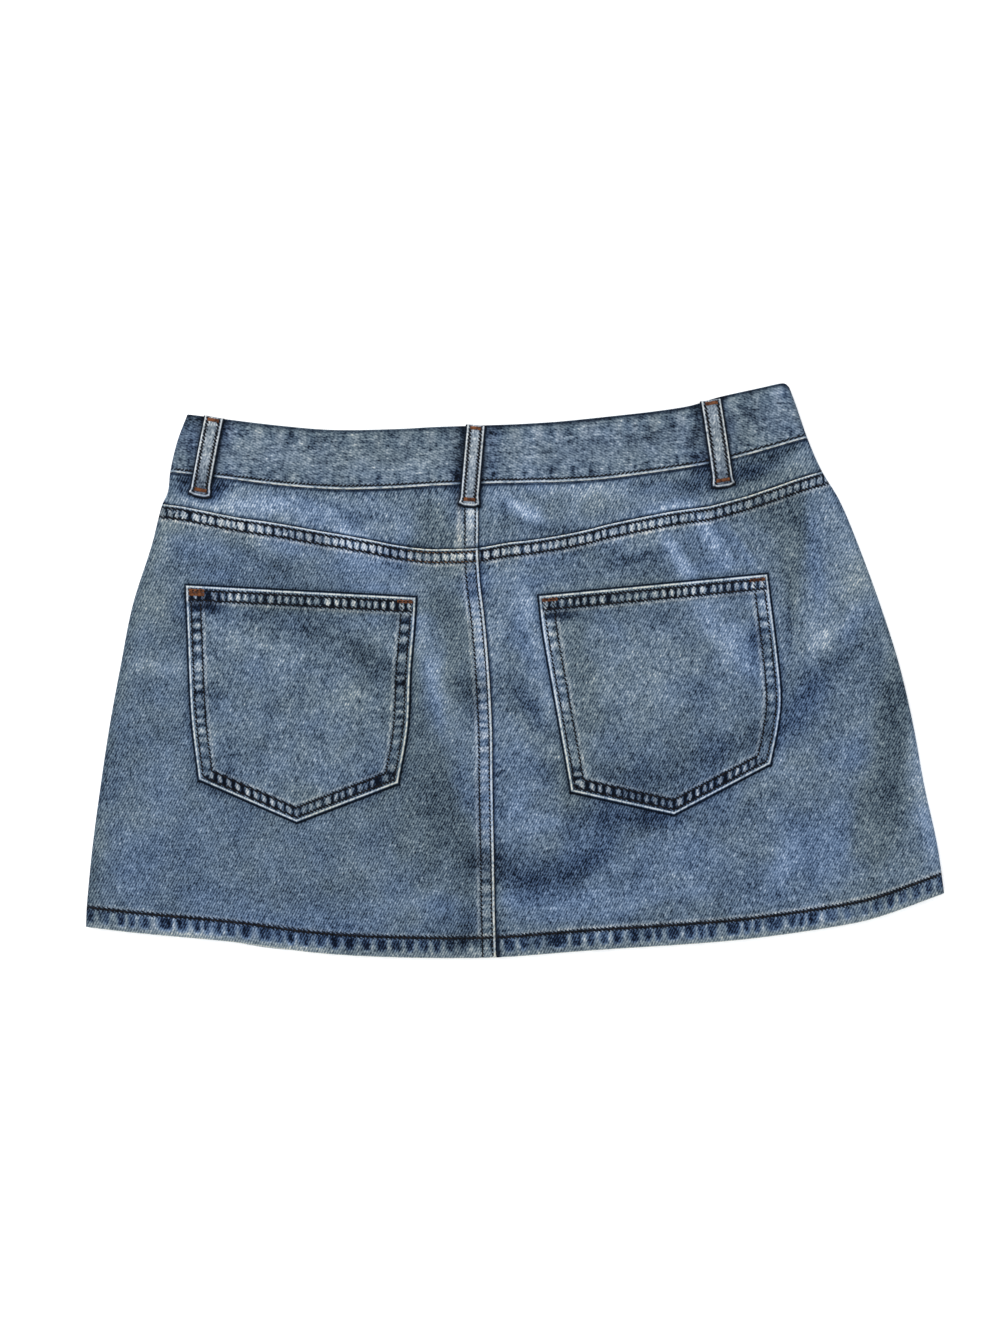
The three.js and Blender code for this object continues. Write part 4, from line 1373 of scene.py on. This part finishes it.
def make_back():
    low = steps(1 * MM, 0, HEM_ROW, 15 * MM)
    high = steps(ROW_CELL, HALF_SEAM, *YOKE_ROWS, 13 * MM)[::-1]
    panel_rows = past_first(low) + between(15 * MM, 13 * MM, 112) + before_second(high)
    yoke_rows = (
        past_first(steps(0.9 * MM, HALF_SEAM, 4 * MM))
        + between(4 * MM, 4 * MM, 20)
        + before_second(steps(0.9 * MM, HALF_SEAM, 4 * MM)[::-1])
    )
    for seed, side in enumerate(("left", "right")):
        columns = COLUMNS[side]
        left = side == "left"
        skins = folded(PANEL_EDGES[side], columns, panel_rows, panel_thickness, True)
        x, y = skins[0][..., 0], skins[0][..., 1]
        looks = panel_looks(x, y, left)
        node = f"back_panel_{side}"
        hue_shift = panel_hue_and_side_shade(x, y)
        dress_back(node, skins, columns, looks, PANEL_DENIM, seed, tint=hue_shift)
        skins = folded(YOKE_EDGES[side], columns, yoke_rows, yoke_thickness, True)
        looks = yoke_looks(skins[0][..., 0], skins[0][..., 1], left)
        node = f"back_yoke_{side}"
        dress_back(node, skins, columns, looks, YOKE_DENIM, seed + 2)
    columns = mirrored(side_columns()) + between(FOLD_REACH, FOLD_REACH, 270) + side_columns()
    rows = past_first(steps(0.8 * MM, HALF_SEAM, BAND_ROW, 5 * MM)) + between(5 * MM, 2 * MM, 28)
    rows += before_second([2 * MM, 1 * MM, 0])
    skins = folded(BAND_EDGES, columns, rows, even(BAND_THICKNESS), True)
    x, y = skins[0][..., 0], skins[0][..., 1]
    looks = band_looks(x, y)
    hue_shift = -0.6 * hump(4 * MM, back_places(x, y)["below_waist"])
    node, slot = "waistband_back", "denim_waistband"
    dress_back(node, skins, columns, looks, BAND_DENIM, 5, crosswise=True, tint=hue_shift)


def pocket_under(x, y):
    return upper_top(x, y, PLY) + POCKET_GAP


def make_pockets():
    for seed, (side, pocket) in enumerate(POCKETS.items()):
        edges = POCKET_EDGES[side]
        left, right = edges[:2]
        tip_x, tip_y = np.array(pocket["tip"]) * MM
        frame_offsets = steps(ROW_CELL, 0, *POCKET_SIDE_ROWS, POCKET_FRAME)
        low, high = left(tip_y) + POCKET_FRAME, right(tip_y) - POCKET_FRAME
        tip = float((tip_x - low) / (high - low))
        tip_cells = round(POCKET_CELLS * tip), round(POCKET_CELLS * (1 - tip))
        columns = (
            past_first(frame_offsets)
            + between(POCKET_FRAME, POCKET_FRAME, tip_cells[0], 0, tip)
            + [(POCKET_FRAME, POCKET_FRAME, tip, 0)]
            + between(POCKET_FRAME, POCKET_FRAME, tip_cells[1], tip, 1)
            + before_second(frame_offsets[::-1])
        )
        hem_offsets = steps(ROW_CELL, 0, *POCKET_HEM_ROWS, POCKET_TOP)
        rows = (
            past_first(frame_offsets)
            + between(POCKET_FRAME, POCKET_TOP, 70)
            + before_second(hem_offsets[::-1])
        )
        skins = laid(edges, columns, rows, pocket_under, pocket_thickness(edges))
        x, y = skins[0][..., 0], skins[0][..., 1]
        pucker, row, edge, dark = pocket_looks(edges, x, y, 60 + 10 * seed)
        skins[0][..., 2] += relief(pucker, row, edge)
        looks = looks_of(x, y, edge, row, pucker, dark, seed + 7)
        skins = rimmed(skins, 1.7 * MM, 2.2 * MM, 1.7 * MM)
        node = f"back_pocket_{side}"
        make_wall(node, skins, looks, POCKET_DENIM, rim=RIM_SHADOW)


def loop_under(loop):
    """Underside of a belt loop, which bows clear of the band between its ends."""
    low = upper_ends(loop)

    def under(x, y):
        share = np.clip((y - loop["bottom_y"]) / (loop["top_y"] - loop["bottom_y"]), 0, 1)
        below = mix(upper_top(x, y, low), upper_top(x, y, BAND_THICKNESS), share)
        return below + LAYER_GAP + LOOP_BOW * np.sin(math.pi * share)

    return under


def upper_ends(loop):
    """Thickness of the cloth under a loop's lower end."""
    places = loop["bottom_x"] + np.array([-1, 0, 1]) * loop["width"] / 3
    return float(np.max(yoke_thickness(places, np.full(3, loop["bottom_y"]))))


def make_loops():
    for seed, loop in enumerate(LOOPS):
        edges = LOOP_EDGES[loop["name"]]
        left, right, bottom, top = edges
        offsets = steps(0.7 * MM, 0, LOOP_ROW, loop["width"] / 2)
        columns = past_first(offsets) + before_second(offsets[-2::-1])
        rows = past_first([0, 0.7 * MM]) + between(0.7 * MM, 0.7 * MM, 50)
        rows += before_second([0.7 * MM, 0])
        skins = laid(edges, columns, rows, loop_under(loop), even(LOOP_THICKNESS))
        x, y = skins[0][..., 0], skins[0][..., 1]
        side = np.minimum(x - left(y), right(y) - x)
        edge = np.minimum(np.minimum(side, y - bottom(x)), top(x) - y + 0.6 * MM)
        row = nearest_row(side, (LOOP_ROW,))
        pucker = 0.1 * bars(y, side, 5 * MM, 0.5, 80 + seed)
        skins[0][..., 2] += relief(pucker, row, edge)
        rounded = hump(2 * MM, side) * (1 - ease(0, 3 * MM, y - bottom(x)))
        looks = looks_of(x, y, edge, row, pucker, np.zeros_like(x), seed + 11)
        for skin in skins:
            skin[..., 1] += LOOP_ROUND * rounded
        # Each loop is darker towards its lower end
        near_bottom = 1 - ease(0, 32 * MM, y - bottom(x))
        looks["light"] = loop["light"] - loop["fade"] * near_bottom
        skins = rimmed(skins, 1.3 * MM, 2 * MM, 0.3 * MM)
        node = f"belt_loop_{loop['name']}"
        make_wall(node, skins, looks, LOOP_DENIM, rim=RIM_SHADOW)


def front_columns(start, before, cells):
    near = past_first([before + start, *(before + offset * MM for offset in (8, 16, 26, 40))])
    offsets = steps(4 * MM, 24 * MM, FOLD_RADIUS)
    return near + between(before + 40 * MM, 24 * MM, cells) + before_second(offsets) + fold_turns()


def make_front():
    hem = steps(1.5 * MM, 0, HEM_ROW, 15 * MM)
    waist = steps(3 * MM, HALF_SEAM, 60 * MM)[::-1]
    rows = past_first(hem) + between(15 * MM, 60 * MM, 50) + before_second(waist)
    columns = front_columns(HALF_SEAM, 0, 50)
    panels = [
        ("left", (left_side, lap_edge, front_hem, front_band_seam), mirrored(columns), button_lift),
        ("right", (lap_edge, right_side, front_hem, front_band_seam), columns, right_front_lift),
    ]
    for seed, (side, edges, stations, lift) in enumerate(panels):
        skins = folded(edges, stations, rows, front_thickness, False, lift)
        x, y = skins[0][..., 0], skins[0][..., 1]
        depth = y - front_hem(x)
        row = nearest_row(depth, (HEM_ROW,))
        pucker = 0.6 * bars(x, depth, 10 * MM, 0.8, 91) * band_of(1 * MM, 11 * MM, 1 * MM, depth)
        # Painted shade under the front waistband's edge
        dark = 0.5 * hump(1.5 * MM, front_band_seam(x) - y)
        looks = looks_of(x, y, depth, row, pucker, dark, seed + 15)
        make_wall(f"front_panel_{side}", skins, looks, PANEL_DENIM, flipped=True)
    rows = past_first(steps(1.2 * MM, HALF_SEAM, BAND_ROW, 5 * MM)) + between(5 * MM, 0, 14)
    rows += before_second([0])
    under = past_first([0, 8 * MM, 16 * MM, 24 * MM]) + front_columns(0, LAP_UNDER, 50)
    bands = [
        (
            "left",
            (left_side, lap_edge, front_band_seam, front_waist),
            mirrored(front_columns(0, 0, 50)),
            button_lift,
        ),
        (
            "right",
            (lambda y: lap_edge(y) - LAP_UNDER, right_side, front_band_seam, front_waist),
            under,
            right_front_lift,
        ),
    ]
    for seed, (side, edges, stations, lift) in enumerate(bands):
        skins = folded(edges, stations, rows, even(BAND_THICKNESS), False, lift)
        x, y = skins[0][..., 0], skins[0][..., 1]
        low, high = y - front_band_seam(x), front_waist(x) - y
        row = nearest_row(low, (BAND_ROW,))
        pucker = 0.5 * bars(x, low, 10 * MM, 0.3, 95) * band_of(3 * MM, 12 * MM, 3 * MM, low)
        edge = np.minimum(low, high + 0.9 * MM)
        looks = looks_of(x, y, edge, row, pucker, np.zeros_like(x), seed + 17, True)
        node = f"waistband_front_{side}"
        make_wall(node, skins, looks, BAND_DENIM, flipped=True)


def make_shield():
    """The fly shield, which lies on the zip inside the front."""
    edges = (
        lambda y: lap_edge(y) - FLY_HALF_WIDTH,
        lambda y: lap_edge(y) + FLY_HALF_WIDTH,
        lambda x: front_band_seam(x) - FLY_TOP - FLY_LENGTH,
        lambda x: front_band_seam(x) - FLY_TOP,
    )
    ends = [0, 0.8 * MM]
    columns = past_first(ends) + between(0.8 * MM, 0.8 * MM, 24) + before_second(ends[::-1])
    rows = past_first(ends) + between(0.8 * MM, 0.8 * MM, 40) + before_second(ends[::-1])

    def under(x, y):
        return right_front_lift(x, y) + PLY + 2 * LAYER_GAP + ZIP_THICKNESS

    skins = laid(edges, columns, rows, under, even(PLY))
    x, y = skins[0][..., 0], skins[0][..., 1]
    side = np.minimum(x - edges[0](y), edges[1](y) - x)
    plain = np.zeros_like(x)
    looks = looks_of(x, y, side, nearest_row(side, (3 * MM,)), plain, plain, 19)
    make_wall("fly_shield", skins, looks, PANEL_DENIM)


def back_skin(thickness_at, looks_at):
    """Height of a back piece's upper skin, with its relief."""

    def height(x, y):
        pucker, row, edge, _ = looks_at(x, y)
        return upper_top(x, y, thickness_at(x, y)) + relief(pucker, row, edge)

    return height


def sewn_line(edges, side, offset, start, stop):
    """A row at an offset in from one edge of a piece, from near one end to near the other."""
    free = [(start, stop, share, 0) for share in np.linspace(0, 1, LINE_POINTS)]
    fixed = {
        "top": [(0, offset, 1, 0)],
        "bottom": [(offset, 0, 0, 0)],
        "left": [(offset, 0, 0, 0)],
        "right": [(0, offset, 1, 0)],
    }[side]
    if side in ("top", "bottom"):
        x, y = plan(edges, free, fixed)
    else:
        x, y = plan(edges, fixed, free)
    return np.stack([x.ravel(), y.ravel()], axis=-1)


def stitch_places(line, pitch):
    """Middles and directions of the stitches along a line."""
    lengths = np.hypot(*np.diff(line, axis=0).T)
    run = np.concatenate([[0], np.cumsum(lengths)])
    count = max(1, int(run[-1] / pitch))
    at = (np.arange(count) + 0.5) * run[-1] / count
    middle = np.stack([np.interp(at, run, line[:, axis]) for axis in (0, 1)], axis=-1)
    ahead = np.stack([np.interp(at + pitch / 4, run, line[:, axis]) for axis in (0, 1)], axis=-1)
    behind = np.stack([np.interp(at - pitch / 4, run, line[:, axis]) for axis in (0, 1)], axis=-1)
    direction = ahead - behind
    return middle, direction / np.hypot(*direction.T)[:, None]


def stitch_shape():
    """Points and faces of one plump stitch, one unit long, wide and high."""
    bm = bmesh.new()
    bmesh.ops.create_uvsphere(bm, u_segments=6, v_segments=6, radius=1)
    for vert in bm.verts:
        long = math.copysign(abs(vert.co.z) ** 0.6, vert.co.z)
        vert.co = (long, vert.co.x, vert.co.y)
    bmesh.ops.recalc_face_normals(bm, faces=bm.faces[:])
    points = np.array([vert.co[:] for vert in bm.verts])
    faces = [[vert.index for vert in face.verts] for face in bm.faces]
    bm.free()
    return points, faces


STITCH_POINTS, STITCH_FACES = stitch_shape()
THREAD = {"pitch": THREAD_PITCH, "length": 1.95 * MM, "radius": 0.45 * MM, "across": False}
HEM_THREAD = {"pitch": 3 * MM, "length": 2.6 * MM, "radius": 0.55 * MM, "across": False}
BARTACK = {"pitch": 0.5 * MM, "length": 2.6 * MM, "radius": 0.3 * MM, "across": True}


def sew(name, rows, finish):
    """One mesh of all the stitches along some rows of (line, height function, thread)."""
    points, faces = [], []
    generator = np.random.default_rng(len(name) * 97)
    for line, height_at, thread in rows:
        middle, direction = stitch_places(line, thread["pitch"])
        if thread["across"]:
            direction = np.stack([-direction[:, 1], direction[:, 0]], axis=-1)
        sway = generator.uniform(-0.09, 0.09, len(middle))
        direction = direction + np.stack([-direction[:, 1], direction[:, 0]], -1) * sway[:, None]
        half = thread["length"] / 2
        ends = [middle + direction * half * way for way in (-1, 1)]
        heights = [height_at(end[:, 0], end[:, 1]) for end in ends]
        rise = (heights[1] - heights[0]) / thread["length"]
        along = np.column_stack([direction, rise])
        along /= np.linalg.norm(along, axis=1)[:, None]
        across = np.cross([0, 0, 1], along)
        across /= np.linalg.norm(across, axis=1)[:, None]
        up = np.cross(along, across)
        top = height_at(middle[:, 0], middle[:, 1]) + thread["radius"] * 0.3
        radius = thread["radius"]
        axes = np.stack([along * half, across * radius, up * radius], axis=1)
        for place, stitch_axes in zip(np.column_stack([middle, top]), axes):
            first = len(points) * len(STITCH_POINTS)
            points.append(place + STITCH_POINTS @ stitch_axes)
            faces += [[first + index for index in face] for face in STITCH_FACES]
    mesh = bpy.data.meshes.new(name)
    mesh.from_pydata(np.concatenate(points).tolist(), [], faces)
    mesh.shade_smooth()
    mesh.materials.append(finish)
    piece = bpy.data.objects.new(name, mesh)
    bpy.context.scene.collection.objects.link(piece)
    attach(piece, "root")
    return piece


def part_of_line(line, low, high):
    """The stretch of a line whose x is between two places."""
    return line[(line[:, 0] >= low) & (line[:, 0] <= high)]


SIDE_CLEAR = 4 * MM
BROWN_FROM = -62 * MM
TACK_LENGTH = 10.5 * MM


def stitch_rows(node, rows):
    """A piece's rows in dark thread."""
    SEWN[node] = [sew(f"stitches_{node}", rows, DARK_THREAD)]


def tack(node, tacks):
    """A piece's bartacks."""
    SEWN[node].append(sew(f"bartacks_{node}", tacks, RUST_THREAD))


def sew_back():
    for side in ("left", "right"):
        left = side == "left"
        edges = PANEL_EDGES[side]
        skin = back_skin(panel_thickness, lambda x, y, left=left: panel_looks(x, y, left))
        ends = (SIDE_CLEAR, 1 * MM) if left else (1 * MM, SIDE_CLEAR)
        dark, brown = [], []
        for offset in YOKE_ROWS:
            line = sewn_line(edges, "top", offset, *ends)
            if left:
                dark.append((part_of_line(line, -FAR, BROWN_FROM), skin, THREAD))
                brown.append((part_of_line(line, BROWN_FROM, FAR), skin, THREAD))
            else:
                dark.append((line, skin, THREAD))
        dark.append((sewn_line(edges, "bottom", HEM_ROW, *ends), skin, HEM_THREAD))
        if left:
            for offset in CENTRE_ROWS:
                line = sewn_line(edges, "right", offset, 1 * MM, 12 * MM)
                dark.append((line, skin, THREAD))
        node = f"back_panel_{side}"
        stitch_rows(node, dark)
        if brown:
            name = f"brown_stitches_{node}"
            SEWN[node].append(sew(name, brown, BROWN_THREAD))
    skin = back_skin(yoke_thickness, lambda x, y: yoke_looks(x, y, True))
    rows = []
    for offset in CENTRE_ROWS:
        rows.append((sewn_line(YOKE_EDGES["left"], "right", offset, 2 * MM, 2 * MM), skin, THREAD))
    stitch_rows("back_yoke_left", rows)
    skin = back_skin(even(BAND_THICKNESS), band_looks)
    line = sewn_line(BAND_EDGES, "bottom", BAND_ROW, SIDE_CLEAR, SIDE_CLEAR)
    stitch_rows("waistband_back", [(line, skin, THREAD)])


def sew_pockets():
    for seed, (side, edges) in enumerate(POCKET_EDGES.items()):
        thickness_at = pocket_thickness(edges)

        def skin(x, y):
            pucker, row, edge, _ = pocket_looks(edges, x, y, 60 + 10 * seed)
            return pocket_under(x, y) + thickness_at(x, y) + relief(pucker, row, edge)

        rows = []
        for offset in POCKET_HEM_ROWS:
            rows.append((sewn_line(edges, "top", offset, 3 * MM, 3 * MM), skin, THREAD))
        for offset in POCKET_SIDE_ROWS:
            for edge in ("left", "right"):
                line = sewn_line(edges, edge, offset, offset, 11 * MM)
                rows.append((line, skin, THREAD))
            rows.append((sewn_line(edges, "bottom", offset, offset, offset), skin, THREAD))
        tacks = []
        for offset in (2.6 * MM, 5 * MM):
            across = sewn_line(edges, "top", offset, 1.4 * MM, 1.4 * MM)
            start, end = across[0, 0], across[-1, 0]
            if offset < 3 * MM or side == "left":
                tacks.append((part_of_line(across, start, start + TACK_LENGTH), skin, BARTACK))
            if offset < 3 * MM:
                tacks.append((part_of_line(across, end - TACK_LENGTH, end), skin, BARTACK))
        stitch_rows(f"back_pocket_{side}", rows)
        tack(f"back_pocket_{side}", tacks)


def sew_loops():
    for loop in LOOPS:
        edges = LOOP_EDGES[loop["name"]]
        under = loop_under(loop)

        def skin(x, y):
            return under(x, y) + LOOP_THICKNESS

        rows = []
        for side in ("left", "right"):
            line = sewn_line(edges, side, LOOP_ROW, 2.6 * MM, 2.6 * MM)
            rows.append((line, lambda x, y: skin(x, y) - 0.2 * MM, THREAD))
        tacks = []
        for end, offset in (("top", 2 * MM), ("bottom", 3.6 * MM)):
            tacks.append((sewn_line(edges, end, offset, 2 * MM, 2 * MM), skin, BARTACK))
        node = f"belt_loop_{loop['name']}"
        stitch_rows(node, rows)
        tack(node, tacks)


make_back()
make_pockets()
make_loops()
make_front()
make_shield()
sew_back()
sew_pockets()
sew_loops()


def zip_tape():
    finish, start = new_finish("zip_tape")
    place = start.node("TexCoord", output=3)
    weave = place.grain(0.6 * MM, 1.0)
    colour = two_tone(start, weave * 0.5 + 0.5, (34, 44, 62), (58, 70, 92))
    bump = bump_of(start, 0.5, 0.1 * MM, weave)
    return finish_off(finish, start, colour, 0.8 + weave * 0.05, bump)


def button_copper():
    finish, start = new_finish("button_copper")
    place = start.node("TexCoord", output=3)
    wear = place.grain(2 * MM, 3.0)
    colour = two_tone(start, wear * 0.5 + 0.5, (126, 82, 54), (178, 124, 86))
    bump = bump_of(start, 0.3, 0.05 * MM, wear)
    return finish_off(finish, start, colour, 0.36 + wear * 0.06, bump, metallic=1.0)


for node, finish in (("fly_zip", zip_tape()), ("waist_button", button_copper())):
    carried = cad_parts[node]
    for material_slot in carried.material_slots:
        material_slot.material = finish


# Floor, light and camera
def make_floor():
    finish, start = new_finish("floor")
    place = start.node("TexCoord", output=3)
    speck = place.grain(0.02, 1.0)
    shader = start.node(
        "BsdfPrincipled",
        None,
        {
            "Base Color": (0.98, 0.98, 0.985, 1),
            "Roughness": 0.85 + speck * 0.01,
            "Emission Color": (1, 1, 1, 1),
            "Emission Strength": 0.34,
        },
    )
    start.node("OutputMaterial", None, {"Surface": shader})
    bm = bmesh.new()
    bmesh.ops.create_grid(bm, x_segments=1, y_segments=1, size=4)
    mesh = bpy.data.meshes.new("floor")
    bm.to_mesh(mesh)
    bm.free()
    mesh.materials.append(finish)
    floor = bpy.data.objects.new("floor", mesh)
    bpy.context.scene.collection.objects.link(floor)


def make_light(name, place, size, power):
    lamp = bpy.data.lights.new(name, "AREA")
    lamp.shape = "SQUARE"
    lamp.size = size
    lamp.energy = power
    light = bpy.data.objects.new(name, lamp)
    light.location = place
    direction = -light.location
    light.rotation_euler = direction.to_track_quat("-Z", "Y").to_euler()
    bpy.context.scene.collection.objects.link(light)


# The photo's height in pixels, and the size of one
PHOTO_HEIGHT = 1333
PIXEL = 0.66 * MM


def make_camera():
    lens, sensor = 60, 36
    field_height = PHOTO_HEIGHT * PIXEL
    lens_data = bpy.data.cameras.new("camera")
    lens_data.lens = lens
    lens_data.sensor_width = sensor
    camera = bpy.data.objects.new("camera", lens_data)
    camera.location = (-2.9 * MM, 6.3 * MM, field_height * lens / sensor + FOLD_HEIGHT)
    camera.rotation_euler = (0, 0, math.radians(-2.5))
    bpy.context.scene.collection.objects.link(camera)
    bpy.context.scene.camera = camera


def make_world():
    world = bpy.data.worlds.new("studio")
    world.use_nodes = True
    background = world.node_tree.nodes["Background"]
    background.inputs["Color"].default_value = (0.97, 0.985, 1, 1)
    background.inputs["Strength"].default_value = 0.74
    bpy.context.scene.world = world
    bpy.context.scene.view_settings.view_transform = "Standard"


make_floor()
make_light("key", (-1.5, 1.7, 2.5), 2.2, 62)
make_camera()
make_world()
